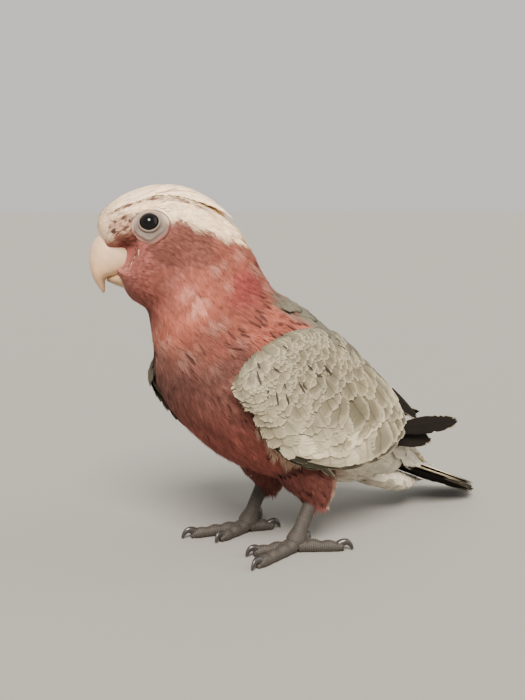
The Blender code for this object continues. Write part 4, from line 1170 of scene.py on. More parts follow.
class MakeHeadCoat(bpy.types.Operator):
    """Makes the fine feathers of the face and the head, and the bristles at the gape"""

    bl_idname = "galah.make_head_coat"
    bl_label = "Head feathers"

    def execute(self, context):
        rng = np.random.default_rng(SEED)
        finish = feather_material("Head Feather", streak=0.06, barbs=6.0, roughness=0.9)
        body_coat(
            "coat_face", rng, (0.03, 2.0),
            lambda s, a: size("face_spacing") * (0.85 + 0.25 * s),
            lambda s, a: 2.3 + 1.2 * s, lambda s, a: 1.7 + 0.5 * s, everywhere, finish,
            barbs=7, lift=0.02, ruffle=0.04, streak=0.04, clump=0.03, root_tone=0.95,
        )
        body_coat(
            "coat_head", rng, (2.0, 4.7),
            lambda s, a: size("head_spacing") * (0.80 + 0.14 * (s - 2)),
            lambda s, a: 5.0 + 0.9 * (s - 2), lambda s, a: 2.8 + 0.7 * (s - 2), everywhere,
            finish, barbs=11, lift=0.05, ruffle=0.06, streak=0.045, clump=0.04,
            root_tone=0.93,
        )
        shape, count = Shape(), 12
        for _, sign in SIDES:
            round_it = np.linspace(80, 100, count)
            q = -sign * np.radians(round_it)
            p = 1.80 - 0.5 * smooth_step(84, 104, round_it) + 0.04 * rng.standard_normal(count)
            pale = mixed(colour("cream"), colour("blush"), 0.6)
            tints = np.where((np.arange(count) % 3)[:, None] > 1, pale, colour("ear", 0.3))
            add_tufts(shape, BODY, p, q, np.sign(q), np.radians(92 + 30 * rng.random(count)),
                      4.6 + 1.2 * rng.random(count), 0.5, 0.25, tints, rng, barbs=2,
                      lift=0.3, ruffle=0.05, root_tone=0.95)
        add_piece("gape_bristles", shape, finish)
        return {"FINISHED"}


class MakeBodyCoat(bpy.types.Operator):
    """Makes the softer, longer feathers of the neck, breast and belly"""

    bl_idname = "galah.make_body_coat"
    bl_label = "Body feathers"

    def execute(self, context):
        rng = np.random.default_rng(SEED + 1)
        finish = feather_material("Body Feather", streak=0.08, barbs=5.0, roughness=0.9)

        def keep_neck(s, a):
            return np.where((s > 5.1) & (np.abs(a) < np.radians(52)), 0.0, 1.0)

        def keep_breast(s, a):
            round_it = np.degrees(np.abs(a))
            under_wing = (s > 6.4) & (round_it < 84)
            return np.where((round_it < 58) | under_wing | (s > 9.0), 0.0, 1.0)

        body_coat(
            "coat_neck", rng, (4.6, 5.6), lambda s, a: 1.8, lambda s, a: 8.0,
            lambda s, a: 4.2, keep_neck, finish, barbs=13, lift=0.08, ruffle=0.09,
            streak=0.06, clump=0.06, root_tone=0.90,
        )
        body_coat(
            "coat_breast", rng, (5.5, 9.2), lambda s, a: size("body_spacing"),
            lambda s, a: 10.5 + 3.0 * smooth_step(6.0, 7.5, s), lambda s, a: 5.4,
            keep_breast, finish, shadow_slits=BREAST_SHADOW_SLITS, barbs=14, lift=0.15, ruffle=0.14,
            streak=0.08, clump=0.08, root_tone=0.82,
        )
        return {"FINISHED"}


class MakeThighCoat(bpy.types.Operator):
    """Makes the feathers of both thighs, pale behind"""

    bl_idname = "galah.make_thigh_coat"
    bl_label = "Thigh feathers"

    def execute(self, context):
        rng = np.random.default_rng(SEED + 2)
        finish = feather_material("Body Feather")
        for side, sign in SIDES:
            form = Thigh(sign)
            p, q = scatter(form, lambda t, a: 2.2, (0.08, 0.97), (-np.pi, np.pi), everywhere,
                           rng, cells=60)
            pale = 0.85 * smooth_step(0.3, 0.75, p) * smooth_step(0.1, 0.8, np.sin(-sign * q))
            tints = mixed(colour("belly", 0.5), mixed(colour("blush"), colour("cream"), 0.5),
                          pale)
            shape = Shape()
            add_tufts(shape, form, p, q, 1.0, 0.0, 8.5 - 3.2 * p, 4.6, 1.6, tints, rng,
                      barbs=15, lift=0.2, ruffle=0.25, streak=0.10)
            add_piece(f"coat_thigh_{side}", shape, finish)
        return {"FINISHED"}


class MakeCrest(bpy.types.Operator):
    """Makes the long crown feathers that lie back over the head"""

    bl_idname = "galah.make_crest"
    bl_label = "Crest"

    def execute(self, context):
        rng = np.random.default_rng(SEED + 3)
        rows, columns = 7, 9
        share = np.linspace(-1, 1, columns)
        across = share + 0.125 * (np.arange(rows) % 2)[:, None]
        p = np.linspace(0.95, 2.45, rows)[:, None] + 0.22 * across**2
        p = (p + 0.03 * rng.standard_normal((rows, columns))).ravel()
        q = (np.radians(21.5) * across).ravel()
        outer = np.tile(np.abs(share) == 1, rows)
        reach = 15 + 13 * smooth_step(0.9, 2.0, p) + 1.2 * rng.standard_normal(len(p))
        reach = reach * np.where(p > 2.1, 0.86, 1.0)
        tints = mixed(colour("cream"), colour("blush"), 0.3 * smooth_step(1.6, 0.9, p))
        converge = -np.radians(7) * np.abs(q) / np.radians(24)
        shape = Shape()
        add_feathers(shape, CREST, p, q, np.sign(q + 1e-6), converge, reach, 6.6, 0.7, tints,
                     rng, barbs=20, lift=0.35, cup=0.15, lean=0.0, blunt=0.25,
                     root_tone=0.97, rim=colour("blush"), rim_share=0.3 * outer)
        finish = feather_material("Crest Feather", barbs=40.0, slant=0.35, streak=0.05,
                                  bump=0.15)
        add_piece("crest_feathers", shape, finish, ["crest"])
        return {"FINISHED"}


class MakeMantle(bpy.types.Operator):
    """Makes the firmer feathers of the back and the rump"""

    bl_idname = "galah.make_mantle"
    bl_label = "Back feathers"

    def execute(self, context):
        rng = np.random.default_rng(SEED + 4)
        p, q = scatter(BODY, lambda s, a: 3.6, (4.95, 9.9), (-1.3, 1.3),
                       lambda s, a: 1.0 * (np.abs(a) < 1.25 - 0.5 * (s < 5.5)), rng)
        shape = Shape()
        dark = 0.9 * (rng.random(len(p)) < 0.16)
        add_feathers(shape, BODY, p, q, np.sign(q), np.radians(6) * rng.standard_normal(len(p)),
                     13 + 1.6 * (p - 5), 7.4, skin_depth(p) * 0.9, marking(p + 0.2, q), rng,
                     barbs=18, lift=0.35, cup=0.4, rim=colour("dark"), rim_share=dark)
        finish = feather_material("Back Feather", barbs=26.0, streak=0.06)
        add_piece("coat_mantle", shape, finish)
        return {"FINISHED"}


def wing_heading(along, down):
    """How far the wing's feathers turn down from the line along it: most low and behind."""
    low = smooth_step(0.3, 0.9, down) * smooth_step(0, 0.4, along)
    behind = smooth_step(0.25, 0.8, along) * smooth_step(0.1, 0.5, down)
    return np.radians(4 + 22 * low + 34 * behind)


def upper_rows(along, down):
    """1 on the wing's upper rows and 0 below a line that slopes up to the rear."""
    return smooth_step(0.04, -0.06, down + 0.33 * along - 0.30)


def wing_tint(along, down, rng):
    """Warm grey: palest low down and behind, greyest on the upper rows."""
    low = smooth_step(0.5, 0.85, down) * (0.15 + 0.85 * smooth_step(0.25, 0.6, along))
    tints = mixed(colour("wing"), colour("wing_edge"), low)
    tints = tints * (0.82 + 0.18 * smooth_step(0.1, 0.4, along))[:, None]
    blotch = smooth_step(0.2, 0.9, np.sin(9 * along + 2.0) * np.sin(11 * down - 1.0))
    tints = painted(tints, (colour("mantle"), 0.85 * upper_rows(along, down)),
                    (colour("mantle"), 0.35 * blotch))
    return tints * (1 + 0.10 * rng.standard_normal((len(along), 1)))


def held_in(form, along, down, heading, reach):
    """Turns feathers that would pass the wing's lower edge, then shortens them."""
    for _ in range(6):
        ahead, _ = moves_at(form, along, down, heading)
        past = down + ahead[:, 1] * reach > WING_END
        heading = np.where(past, heading * 0.72, heading)
    falls = moves_at(form, along, down, heading)[0][:, 1]
    room = np.maximum((WING_END - down) / np.maximum(falls, 1e-4), 3.0)
    return heading, np.where(falls > 1e-4, np.minimum(reach, room), reach)


class MakeWings(bpy.types.Operator):
    """Makes the coverts of both folded wings, from small ones at the wrist to long ones"""

    bl_idname = "galah.make_wings"
    bl_label = "Wing feathers"

    def execute(self, context):
        covert = feather_material("Wing Covert", barbs=20.0, streak=0.06, bump=0.2)
        for side, sign in SIDES:
            form, shape = Wing(sign), Shape()
            rng = np.random.default_rng(SEED + 5 + sign)
            p, q = scatter(form, lambda a, d: 2.4 + 3.9 * smooth_step(0.12, 0.62, a),
                           (0.0, 0.66), (0.0, 0.98), lambda a, d: 1.0 * (a < 0.66 - 0.1 * d),
                           rng, cells=90)
            p = np.append(np.full(FRONT_ROW, -0.012), p)
            q = np.append(np.linspace(0.06, 0.97, FRONT_ROW), q)
            n = len(p)
            grown = smooth_step(0.08, 0.62, p)
            heading = wing_heading(p, q) + np.radians(9) * rng.standard_normal(n)
            heading = heading + np.radians(16) * rng.standard_normal(n) * (
                rng.random(n) < 0.12)
            reach = (6.8 + 15.0 * grown) * (1 + 0.12 * rng.standard_normal(n))
            width = (6.4 + 8.0 * grown) * (1 + 0.08 * rng.standard_normal(n))
            upper = upper_rows(p, q)
            reach, width = reach * (1 + 0.5 * upper), width * (1 - 0.2 * upper)
            q = np.minimum(q, 0.985 - 0.44 * width * np.cos(heading) / WING_HEIGHT)
            heading, reach = held_in(form, p, q, heading, reach)
            dark = 0.5 * (rng.random(n) < 0.3 * upper)
            tints = wing_tint(p, q, rng)
            front = smooth_step(0.24, 0.06, p) * (sign > 0)
            tints = mixed(tints, mixed(colour("mantle"), colour("dark", 4), 0.45), front)
            rims = np.where(dark[:, None] > 0, colour("dark", 2.0), colour("wing_edge", 0.8))
            rims = mixed(rims, colour("mantle", 1.3), front)
            add_feathers(shape, form, p, q, 1.0, heading, reach, width, 0.9, tints, rng,
                         barbs=22, lift=0.42, cup=0.35, lean=-0.10,
                         loose=0.07 - 0.045 * grown, blunt=0.7, root_tone=0.66, rim=rims,
                         rim_share=np.maximum(dark, 0.42))
            # Dark blades among the coverts: painted shadow of the gaps between them.
            p, q = 0.01 + 0.3 * rng.random(WING_SHADOW_SLITS), 0.15 + 0.65 * rng.random(WING_SHADOW_SLITS)
            heading = wing_heading(p, q) + np.radians(22) * rng.standard_normal(WING_SHADOW_SLITS)
            add_shadow_slits(shape, form, p, q, 1.0, heading, colour("dark", 4), rng)
            add_piece(f"wing_coverts_dressed_{side}", shape, covert,
                      [f"wing_secondaries_{side}"])
        return {"FINISHED"}


class MakeFlight(bpy.types.Operator):
    """Makes the secondaries, the dark primaries under them and the long wing tips"""

    bl_idname = "galah.make_flight"
    bl_label = "Flight feathers"

    def execute(self, context):
        pale = feather_material("Wing Covert")
        grey = feather_material("Flight Feather", edge_tint=tuple(colour("wing_edge")),
                                edge=0.10, edge_share=0.35, barbs=60.0, roughness=0.7,
                                specular=0.05)
        for side, sign in SIDES:
            rng = np.random.default_rng(SEED + 8 + sign)
            self.add_secondaries(side, Wing(sign), rng, pale)
            self.add_primaries(side, Wing(sign), rng, grey)
            self.add_fringe(side, sign, rng)
        return {"FINISHED"}

    def add_secondaries(self, side, form, rng, finish):
        """Two rows of long feathers, the shorter one over the longer one."""
        shape, count = Shape(), 12
        for row, (low, high, longest, width) in enumerate(SECONDARY_ROWS):
            d = np.linspace(low, high - 0.03, count) + 0.01 * rng.standard_normal(count)
            a = 0.62 - 0.06 * d - 0.12 * row
            heading, reach = held_in(form, a, d, wing_heading(a, d) * 0.9, longest)
            ahead, _ = moves_at(form, a, d, heading)
            room = (1.0 - a) / np.maximum(ahead[:, 0], 1e-4)
            reach = np.minimum(reach, np.maximum(room, 12.0))
            add_feathers(shape, form, a, d, 1.0, heading, reach, width, 1.2,
                         wing_tint(a, d + 0.15, rng), rng, barbs=26, rows=4,
                         lift=0.1 + 0.15 * row, cup=0.22, lean=-0.10, loose=0.02, blunt=0.7,
                         rim=colour("wing_edge", 1.1), rim_share=0.5)
        add_piece(f"wing_secondaries_dressed_{side}", shape, finish)

    def add_primaries(self, side, form, rng, finish):
        """Dark feathers along the lower edge and behind, and the three long ones."""
        shape = Shape()
        a = np.array([0.34, 0.45, 0.56, 0.67, 0.77, 0.40, 0.56, 0.72])
        d = np.array([0.995, 1.005, 1.01, 1.01, 1.0, 1.03, 1.04, 1.03])
        under = np.array([0, 0, 0, 0, 0, 1, 1, 1])
        tints = mixed(colour("dark"), colour("mantle"), 0.55 - 0.3 * under)
        add_feathers(shape, form, a, d, 1.0, 0.0, 23, 5.2, 0.8 + 0.8 * under, tints, rng,
                     barbs=24, lift=-0.4, cup=0.2, loose=0.02, blunt=0.75)
        a, d = np.full(6, 0.90), np.linspace(0.30, 0.93, 6)
        add_feathers(shape, form, a, d, 1.0, 0.2 + 0.5 * wing_heading(a, d), 13, 11.0, 1.6,
                     mixed(colour("mantle"), colour("dark"), 0.2), rng, barbs=24, rows=4,
                     lift=-0.5, cup=0.4, loose=0.03, blunt=0.8, rim=colour("wing_edge", 0.8),
                     rim_share=0.7)
        mirror = np.array([1.0, -form.sign, 1.0])
        for root, tip, half_width in WING_TIP_FEATHERS:
            root, tip = np.array(root) * mirror, np.array(tip) * mirror
            blade_shape(shape, root, tip - root, np.array([0.2, form.sign * 0.75, 0.6]),
                        np.linalg.norm(tip - root), half_width, colour("dark", 1.3), rng,
                        fray=0.10, thick=0.5)
        nodes = [f"{name}_{side}" for name in ("wing_primaries", "primary_tip_1",
                                               "primary_tip_2", "tertial")]
        add_piece(f"flight_feathers_{side}", shape, finish, nodes)

    def add_fringe(self, side, sign, rng):
        """Downy pale tufts that show between the wing's lower edge and the belly."""
        n = 90
        p = 6.55 + 1.45 * rng.random(n)
        q = -sign * np.radians(122 + 11 * (p - 6.5) + 3 * rng.standard_normal(n))
        tints = 0.8 * mixed(colour("cream"), colour("blush"), 0.5 + 0.5 * rng.random(n))
        shape = Shape()
        add_tufts(shape, BODY, p, q, np.sign(q), np.radians(30), 8.5, 4.0, 1.0, tints, rng,
                  barbs=13, lift=0.9, ruffle=0.3, streak=0.1)
        add_piece(f"coat_flank_{side}", shape, feather_material("Body Feather"))


class MakeTail(bpy.types.Operator):
    """Makes the twelve tail feathers and the coverts above and below them"""

    bl_idname = "galah.make_tail"
    bl_label = "Tail"

    def execute(self, context):
        rng = np.random.default_rng(SEED + 11)
        heading = np.array([math.cos(TAIL_SLOPE), 0, -math.sin(TAIL_SLOPE)])
        upward = np.array([math.sin(TAIL_SLOPE), 0, math.cos(TAIL_SLOPE)])
        start = np.array([TAIL_ROOT_AT[0], 0, TAIL_ROOT_AT[1]])
        finish = feather_material("Tail Feather", edge_tint=tuple(colour("wing_edge")),
                                  edge=0.05, edge_share=0.15, barbs=90.0, roughness=0.7,
                                  specular=0.05)
        for side, sign in SIDES:
            shape = Shape()
            outward = np.array([0, sign, 0])
            for pair in range(RECTRIX_PAIRS):
                spread = TAIL_SPREAD * (pair + 0.35) / (RECTRIX_PAIRS - 0.65)
                depth, roll = MIDDLE_PAIR_DEPTH * (sign > 0), 0.0
                if pair:
                    depth = SECOND_PAIR_DEPTH + NEXT_PAIR_DEPTH * (pair - 1)
                    roll = RECTRIX_ROLL
                blade_shape(
                    shape,
                    start - upward * depth + outward * RECTRIX_SPACING * (pair + 0.5),
                    heading * math.cos(spread) + outward * math.sin(spread),
                    upward * math.cos(roll) - outward * math.sin(roll),
                    TAIL_LENGTH - RECTRIX_SHORTER * pair, RECTRIX_HALF_WIDTH,
                    colour("dark"), rng, fray=0.12,
                    streak=colour("wing_edge", 1.1) if pair < STREAKED_PAIRS else None,
                    streak_side=-sign,
                )
            nodes = [f"tail_feather_{side}_{i + 1}" for i in range(RECTRIX_PAIRS)]
            add_piece(f"tail_{side}", shape, finish, nodes)

        covert = feather_material("Tail Covert", barbs=22.0, streak=0.06)
        tables = (("undertail", UNDERTAIL_COVERTS, 4.6), ("uppertail", UPPERTAIL_COVERTS, 4.4))
        for name, stations, gap in tables:
            form, shape = Loft(stations, roots_from=9.0, root_step=0.3), Shape()
            p, q = scatter(form, lambda t, a, gap=gap: gap, (0.0, 2.35), (-np.pi, np.pi),
                           everywhere, rng, cells=60)
            order = np.argsort(p)
            p, q = p[order], q[order]
            tints = colour("rump") * (0.85 + 0.08 * rng.standard_normal((len(p), 1)))
            add_feathers(shape, form, p, q, np.sign(q), 0.0, 14.5 + 1.5 * p, 12.5 - 1.2 * p,
                         1.2, tints, rng, barbs=20, lift=0.5, cup=0.7, loose=0.03,
                         splits=0.15, blunt=0.85, rim=colour("wing_edge", 1.1),
                         rim_share=0.5)
            add_piece(f"coat_{name}", shape, covert)
        return {"FINISHED"}


class MakeBill(bpy.types.Operator):
    """Makes both halves of the bill"""

    bl_idname = "galah.make_bill"
    bl_label = "Bill"

    def execute(self, context):
        finish = marked_material("Bill Horn", 0.38, strength=0.12, grain=0.0016, bump=0.12,
                                 coat=0.15)
        angle = closed_angles(BILL_AROUND)
        root = 0.25 * smooth_step(0.5, 0.0, np.abs(np.sin(angle)))
        # The lower half is the same horn darkened to 0.62: painted shade under the upper bill.
        for name, stations, rows, tone in (("upper", UPPER_BILL, 90, 1.0),
                                           ("lower", LOWER_BILL, 50, 0.62)):
            t = np.linspace(0, 1, rows)[:, None]
            tints = painted(
                colour("bill"),
                (colour("bill") * np.array([1.10, 0.99, 0.86]), smooth_step(0.2, 0.6, t)),
                (colour("bill") * np.array([0.62, 0.55, 0.5]),
                 0.6 * smooth_step(0.78, 1.0, t) + root),
            )
            growth = 1 + 0.03 * np.sin(t * 46 + 2 * np.sin(angle * 2))
            shape = Shape()
            shape.add_closed(station_rings(stations, rows, BILL_AROUND),
                             tints * tone * growth[..., None],
                             unwrap(0.2 + 0.2 * t, angle - 3), ring_map(angle, t))
            add_piece(f"bill_{name}_horn", shape, finish, [f"bill_{name}"])
        return {"FINISHED"}


class MakeEyes(bpy.types.Operator):
    """Makes the glossy eyeballs and the rings of bare, folded skin round them"""

    bl_idname = "galah.make_eyes"
    bl_label = "Eyes"

    def execute(self, context):
        ball_finish = marked_material("Eye", 0.06, strength=0.0, bump=0.0, specular=0.22)
        skin = marked_material("Bare Skin", 0.7, strength=0.14, grain=0.0006, bump=0.5)
        for side, sign in SIDES:
            self.make_ball(side, sign, ball_finish)
            self.make_ring(side, sign, skin)
        return {"FINISHED"}

    def make_ball(self, side, sign, finish):
        """A sphere that swells a little at the front, with a dark brown iris."""
        spot = HEAD.spot(*EYE_AT, sign)
        ahead, above, out = HEAD.axes_at(spot)
        polar = np.linspace(0.03, np.pi - 0.03, 48)[:, None, None]
        turn = closed_angles(64)[:, None]
        spoke = np.cos(turn) * ahead + np.sin(turn) * above
        ball = HEAD.point(*spot) - out * EYE_DEPTH + EYE_RADIUS * (
            1 + 0.03 * hump(polar, 0, 0.5)) * (np.cos(polar) * out + np.sin(polar) * spoke)
        polar, turn = polar[..., 0], turn[:, 0]
        iris = 0.3 * smooth_step(0.40, 0.46, polar) * smooth_step(0.80, 0.70, polar)
        shape = Shape()
        shape.add_closed(turn_head(ball), mixed(PUPIL_TINT, IRIS_TINT, iris),
                         unwrap(2 + 0.2 * polar, turn * 0.05))
        add_piece(f"eyeball_{side}", shape, finish, [f"eye_{side}"])

    def make_ring(self, side, sign, finish):
        """A lid rim that rolls over the eyeball, then folds that run round it.

        Height over the head's form is a bump at the rim, a hollow behind it, a broad
        cushion, and small waves along the way out and round, deepest below the eye.
        """
        rows, around = 44, 128
        share = np.linspace(0, 1, rows)[:, None]
        turn = closed_angles(around)[None, :]
        upward, forward = np.sin(turn), np.cos(turn)
        circle = np.stack([forward, upward], -1)
        offset = np.array([EYE_RING_AT[0] - EYE_AT[0], EYE_AT[1] - EYE_RING_AT[1]])
        lid = circle * np.array([EYE_OPENING - 0.1, EYE_OPENING - 0.35])
        place = mixed(lid + offset, circle * EYE_RING_HALF, share)
        below = smooth_step(0.35, -0.6, upward)
        folds = np.sin(share * 17 + 1.1 * np.sin(2 * turn + 0.6) + 0.7 * np.sin(5 * turn))
        crease = 0.24 * folds * (0.2 + 0.8 * below) * smooth_step(0.12, 0.3, share)
        crease = crease * smooth_step(1.0, 0.8, share)
        spokes = 0.07 * np.sin(46 * turn + 5 * share) * smooth_step(0.0, 0.5, share)
        rim = 0.55 * hump(share, 0.08, 0.07)
        gutter = -0.45 * hump(share, 0.22, 0.06) * (0.4 + 0.6 * below)
        cushion = 0.12 * np.sin(np.pi * share) ** 0.8
        sunk = -1.2 * smooth_step(0.72 + 0.22 * smooth_step(0.0, 0.6, upward), 1.0, share)
        height = rim + gutter + cushion + crease + spokes + sunk - 0.35 * (share < 0.02)
        points = HEAD.around_spot(HEAD.spot(*EYE_RING_AT, sign), place[..., 0],
                                  place[..., 1], height)
        # Darker in the hollow behind the lid rim and in the grooves of the folds below the eye:
        # painted shade. A thin dark line also runs at the lid's inner edge.
        dark = 0.55 * hump(share, 0.22, 0.05) * (0.5 + 0.5 * below)
        dark = dark + 0.35 * (1 - smooth_step(0.0, 0.035, share))
        dark = dark + 0.45 * np.clip(-folds, 0, 1) * below * smooth_step(0.25, 0.4, share)
        rear = smooth_step(1.7, 3.1, turn) * (turn < 3.6) + 0.3 * smooth_step(1.1, 0.3, turn)
        # A dark line along the ring's outer top: painted shadow of the gap between the ring and
        # the brow feathers.
        brow = hump(share, 0.86 + 0.04 * rear, 0.06 + 0.09 * smooth_step(0.3, 0.9, upward))
        brow = brow * smooth_step(-0.25, 0.2, upward - 0.1 * forward)
        outer = smooth_step(0.45, 0.8, share + 0.06 * np.sin(5 * turn))
        outer = outer * (1 - 0.6 * smooth_step(0.0, 0.4, upward))
        around_it = painted(colour("ear", 1.15),
                            (colour("cream"), smooth_step(0.0, 0.5, upward)),
                            (colour("blush"), smooth_step(0.3, 0.9, forward)))
        tints = painted(
            colour("lid", 0.72),
            (colour("lid", 1.25), smooth_step(-0.4, 0.6, upward)),
            (around_it, outer),
            (colour("lid", 0.45), np.clip(dark, 0, 1)),
            (colour("ear", 0.25), 0.95 * brow),
            (colour("lid", 1.15), 0.6 * hump(share, 0.09, 0.05)),
        )
        shape = Shape()
        quads = grid_quads(rows, around, True)
        shape.add(turn_head(points), quads if sign < 0 else quads[:, ::-1], tints,
                  unwrap(2.0 + 0.4 * share * upward, -sign * (1.2 + 0.2 * forward)),
                  ring_map(turn, share))
        add_piece(f"eye_ring_skin_{side}", shape, finish, [f"eye_ring_{side}"])


# ================================================================ feet
def ring_map(angle, along):
    """A tube's own map: once round it in X, and along it in Y."""
    return np.stack(floats(angle / 6.3, along), -1)


def beads(along, around_length, cell):
    """Domes on a staggered lattice: 1 at the middle of each scale and 0 in the grooves."""
    row = np.round(along / (cell * 0.866))
    x = along / (cell * 0.866) - row
    y = around_length / cell - 0.5 * (row % 2)
    y = y - np.round(y)
    return np.clip(1 - (x * x * 0.9 + y * y) * 3.6, 0, 1)


def spokes_round(centres, sideways, flat, angle):
    """Directions from a tube's path to its skin, flat times as long at angle 0, sideways."""
    tangents = unit(np.gradient(centres, axis=0))
    across = unit(sideways - tangents * (tangents @ sideways)[:, None])
    return (np.cos(angle)[:, None] * across[:, None] * flat
            + np.sin(angle)[:, None] * np.cross(tangents, across)[:, None])


def scaled_tube(shape, centres, radii, flat, cell, rng, around=64):
    """A toe or shank: a tube along its path whose skin rises into beaded scales."""
    angle = closed_angles(around)
    way = np.concatenate([[0], np.cumsum(np.linalg.norm(np.diff(centres, axis=0), axis=1))])
    way = way[:, None]
    wrap_count = np.round(2 * np.pi * radii.mean() / cell)
    dome = beads(way, angle / (2 * np.pi) * wrap_count * cell, cell)
    relief = 0.42 * np.sqrt(dome) - 0.30
    spokes = spokes_round(centres, np.array([0.0, 1.0, 0.0]), flat, angle)
    rings = centres[:, None] + spokes * (radii[:, None] + relief)[..., None]
    rings[..., 2] = np.maximum(rings[..., 2], 0.0)
    # Much darker in the grooves and paler on the domes: the foot's pale scales, with painted
    # shade in the grooves and painted highlight on the domes.
    tints = mixed(colour("foot", 0.28), colour("foot", 1.35), dome)
    tints = tints * (1 + 0.10 * rng.standard_normal((len(centres), 1, 1)))
    shape.add_closed(rings, tints, unwrap(8.0 + 0.01 * way, 0.1 * angle),
                     ring_map(angle, way / 30))


def add_claw(shape, root, ahead, reach):
    """A tube along a falling arc that narrows to its point."""
    t = np.linspace(0, 1, 30)
    arc = CLAW_BEND * t
    radius = reach / CLAW_BEND
    radii = CLAW_TIP_RADIUS + (CLAW_RADIUS - CLAW_TIP_RADIUS) * (1 - t) ** 0.75
    radii = radii * np.where(t > 0.97, 0.5, 1)
    height = CLAW_ROOT_HEIGHT + CLAW_RISE * np.sin(np.pi * np.clip(t * 1.2, 0, 1))
    centres = root + ahead * (radius * np.sin(arc) * 1.05)[:, None]
    centres[:, 2] = np.maximum(height - radius * (1 - np.cos(arc)) * CLAW_FALL, radii + 0.4)
    angle = closed_angles(28)
    spokes = spokes_round(centres, np.array([-ahead[1], ahead[0], 0]), 0.8, angle)
    t = t[:, None]
    tints = mixed(colour("claw"), colour("foot"), 0.5 * smooth_step(0.25, 0.0, t))
    shape.add_closed(centres[:, None] + radii[:, None, None] * spokes, tints,
                     unwrap(8.5 + 0.1 * t, 0.1 * angle), ring_map(angle, t))


class MakeFeet(bpy.types.Operator):
    """Makes the scaled shanks and toes, and the curved claws"""

    bl_idname = "galah.make_feet"
    bl_label = "Feet"

    def execute(self, context):
        rng = np.random.default_rng(SEED + 13)
        scales = marked_material("Foot Scale", 0.6, strength=0.18, grain=0.0006, bump=0.2)
        horn = marked_material("Claw Horn", 0.35, strength=0.15, grain=0.0008, bump=0.1,
                               coat=0.2)
        cell = size("scale")
        for side, sign in SIDES:
            foot = np.array([FOOT_X, sign * STANCE, HUB_RADIUS])
            start = np.array([ANKLE[0], sign * STANCE, ANKLE[1]]) + np.array([-2.0, 0, 3.5])
            t = np.linspace(0, 1, 150)
            sole = np.linspace(0.1, 1, 16)[:, None] * np.array([-1.2, 0, -HUB_RADIUS * 0.62])
            path = np.concatenate([mixed(start, foot, t), foot + sole])
            swell = 1 + ANKLE_SWELL * hump(t, 0.12, 0.10)
            swell = swell + FOOT_SWELL * smooth_step(0.72, 1.0, t)
            radii = np.append(TARSUS_RADIUS * swell,
                              np.linspace(HUB_RADIUS, HUB_RADIUS * 0.8, 16))
            shape, claws = Shape(), Shape()
            scaled_tube(shape, path, radii, 0.9, cell, rng, around=84)
            hub = np.array([FOOT_X - 1.0, sign * STANCE, 0])
            for _, reach, outward, claw_length in TOES:
                direction = math.radians(180 - sign * outward)
                ahead = np.array([math.cos(direction), math.sin(direction), 0])
                t = np.linspace(0, 1, int(reach * 5))
                radii = TOE_RADIUS + (TOE_TIP_RADIUS - TOE_RADIUS) * t
                pads = 1 + TOE_PAD_SWELL * np.cos(2 * np.pi * t * reach / TOE_PAD_LENGTH)
                radii = radii * pads * (1 - 0.45 * smooth_step(0.88, 1.0, t) ** 2)
                centres = hub + ahead * (2.0 + t * (reach - 2.0))[:, None]
                centres[:, 2] = radii * SOLE_SHARE
                scaled_tube(shape, centres, radii, 1.0, cell * 0.95, rng)
                add_claw(claws, hub + ahead * (reach - 2.2), ahead, claw_length)
            nodes = [f"shank_{side}"] + [f"toe_{toe[0]}_{side}" for toe in TOES]
            add_piece(f"foot_{side}", shape, scales, nodes)
            add_piece(f"claws_{side}", claws, horn,
                      [f"claw_{toe[0]}_{side}" for toe in TOES])
        return {"FINISHED"}


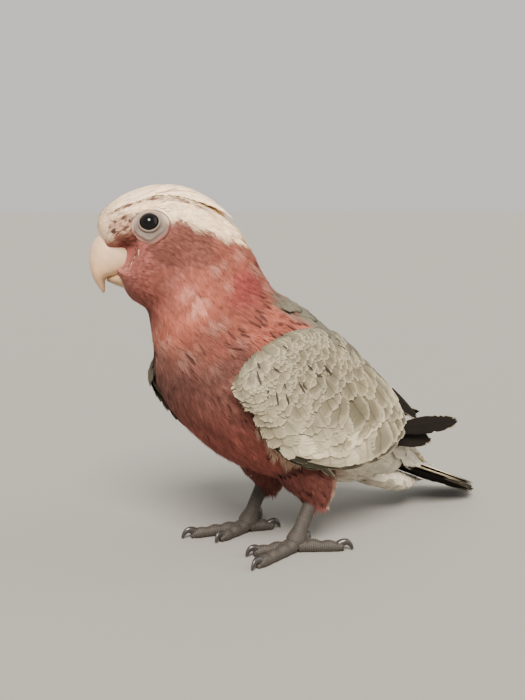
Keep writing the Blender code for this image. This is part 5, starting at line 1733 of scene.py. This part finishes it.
# ================================================================ the stage
class MakeStage(bpy.types.Operator):
    """Makes the camera, the soft lights and the pale floor"""

    bl_idname = "galah.make_stage"
    bl_label = "Stage"

    def execute(self, context):
        self.add_camera()
        self.add_floor()
        self.add_lights()
        return {"FINISHED"}

    def add_camera(self):
        back = np.array([math.sin(CAMERA_AZIMUTH) * math.cos(CAMERA_HEIGHT),
                         -math.cos(CAMERA_AZIMUTH) * math.cos(CAMERA_HEIGHT),
                         math.sin(CAMERA_HEIGHT)])
        right = np.array([math.cos(CAMERA_AZIMUTH), math.sin(CAMERA_AZIMUTH), 0])
        up = np.cross(back, right)
        place = (CAMERA_TARGET - ORIGIN + back * CAMERA_DISTANCE) * MM
        camera = new_object("camera", bpy.data.cameras.new("camera"))
        camera.data.sensor_width = SENSOR
        camera.data.lens = LENS
        camera.data.clip_start = 0.01
        camera.matrix_world = Matrix(
            [(*row, value) for row, value in zip(np.array([right, up, back]).T, place)]
            + [(0, 0, 0, 1)]
        )
        bpy.context.scene.camera = camera

    def add_floor(self):
        mesh = bpy.data.meshes.new("floor")
        corners = [(x * FLOOR_HALF, y * FLOOR_HALF, 0)
                   for x, y in ((-1, -1), (1, -1), (1, 1), (-1, 1))]
        mesh.from_pydata(corners, [], [(0, 1, 2, 3)])
        mesh.materials.append(new_material("Floor", Roughness=0.9, Base_Color=FLOOR_TINT)[0])
        floor = new_object("floor", mesh)

    def add_lights(self):
        world = bpy.data.worlds.new("Studio")
        world.use_nodes = True
        background = world.node_tree.nodes["Background"].inputs
        background["Color"].default_value = STUDIO_TINT
        background["Strength"].default_value = STUDIO_POWER
        bpy.context.scene.world = world
        aim = Vector((CAMERA_TARGET - ORIGIN) * MM)
        for name, place, spread, power, tone in LIGHTS:
            lamp = bpy.data.lights.new(name, "SUN")
            lamp.energy, lamp.angle, lamp.color = power, math.radians(spread), tone
            obj = new_object(name, lamp)
            obj.location = Vector(place)
            obj.rotation_euler = (aim - Vector(place)).to_track_quat("-Z", "Y").to_euler()


MAKERS = (MakeSkin, MakeHeadCoat, MakeBodyCoat, MakeThighCoat, MakeCrest, MakeMantle, MakeWings,
          MakeFlight, MakeTail, MakeBill, MakeEyes, MakeFeet, MakeStage)


class GalahPanel(bpy.types.Panel):
    """Lists the galah's colours, sizes and pieces"""

    bl_idname = "VIEW3D_PT_galah"
    bl_label = "Galah"
    bl_space_type = "VIEW_3D"
    bl_region_type = "UI"
    bl_category = "Galah"

    def draw(self, context):
        for group in (context.scene.galah_colours, context.scene.galah_sizes):
            box = self.layout.box()
            for key in group.bl_rna.properties.keys():
                if key not in {"rna_type", "name"}:
                    box.prop(group, key)
        for maker in MAKERS:
            self.layout.operator(maker.bl_idname)


CLASSES = (GalahColours, GalahSizes, *MAKERS, GalahPanel)


def register():
    for item in CLASSES:
        bpy.utils.register_class(item)
    bpy.types.Scene.galah_colours = bpy.props.PointerProperty(type=GalahColours)
    bpy.types.Scene.galah_sizes = bpy.props.PointerProperty(type=GalahSizes)


def unregister():
    del bpy.types.Scene.galah_sizes
    del bpy.types.Scene.galah_colours
    for item in reversed(CLASSES):
        bpy.utils.unregister_class(item)


def main():
    register()
    for maker in MAKERS:
        group, name = maker.bl_idname.split(".")
        getattr(getattr(bpy.ops, group), name)()


if __name__ == "__main__":
    main()
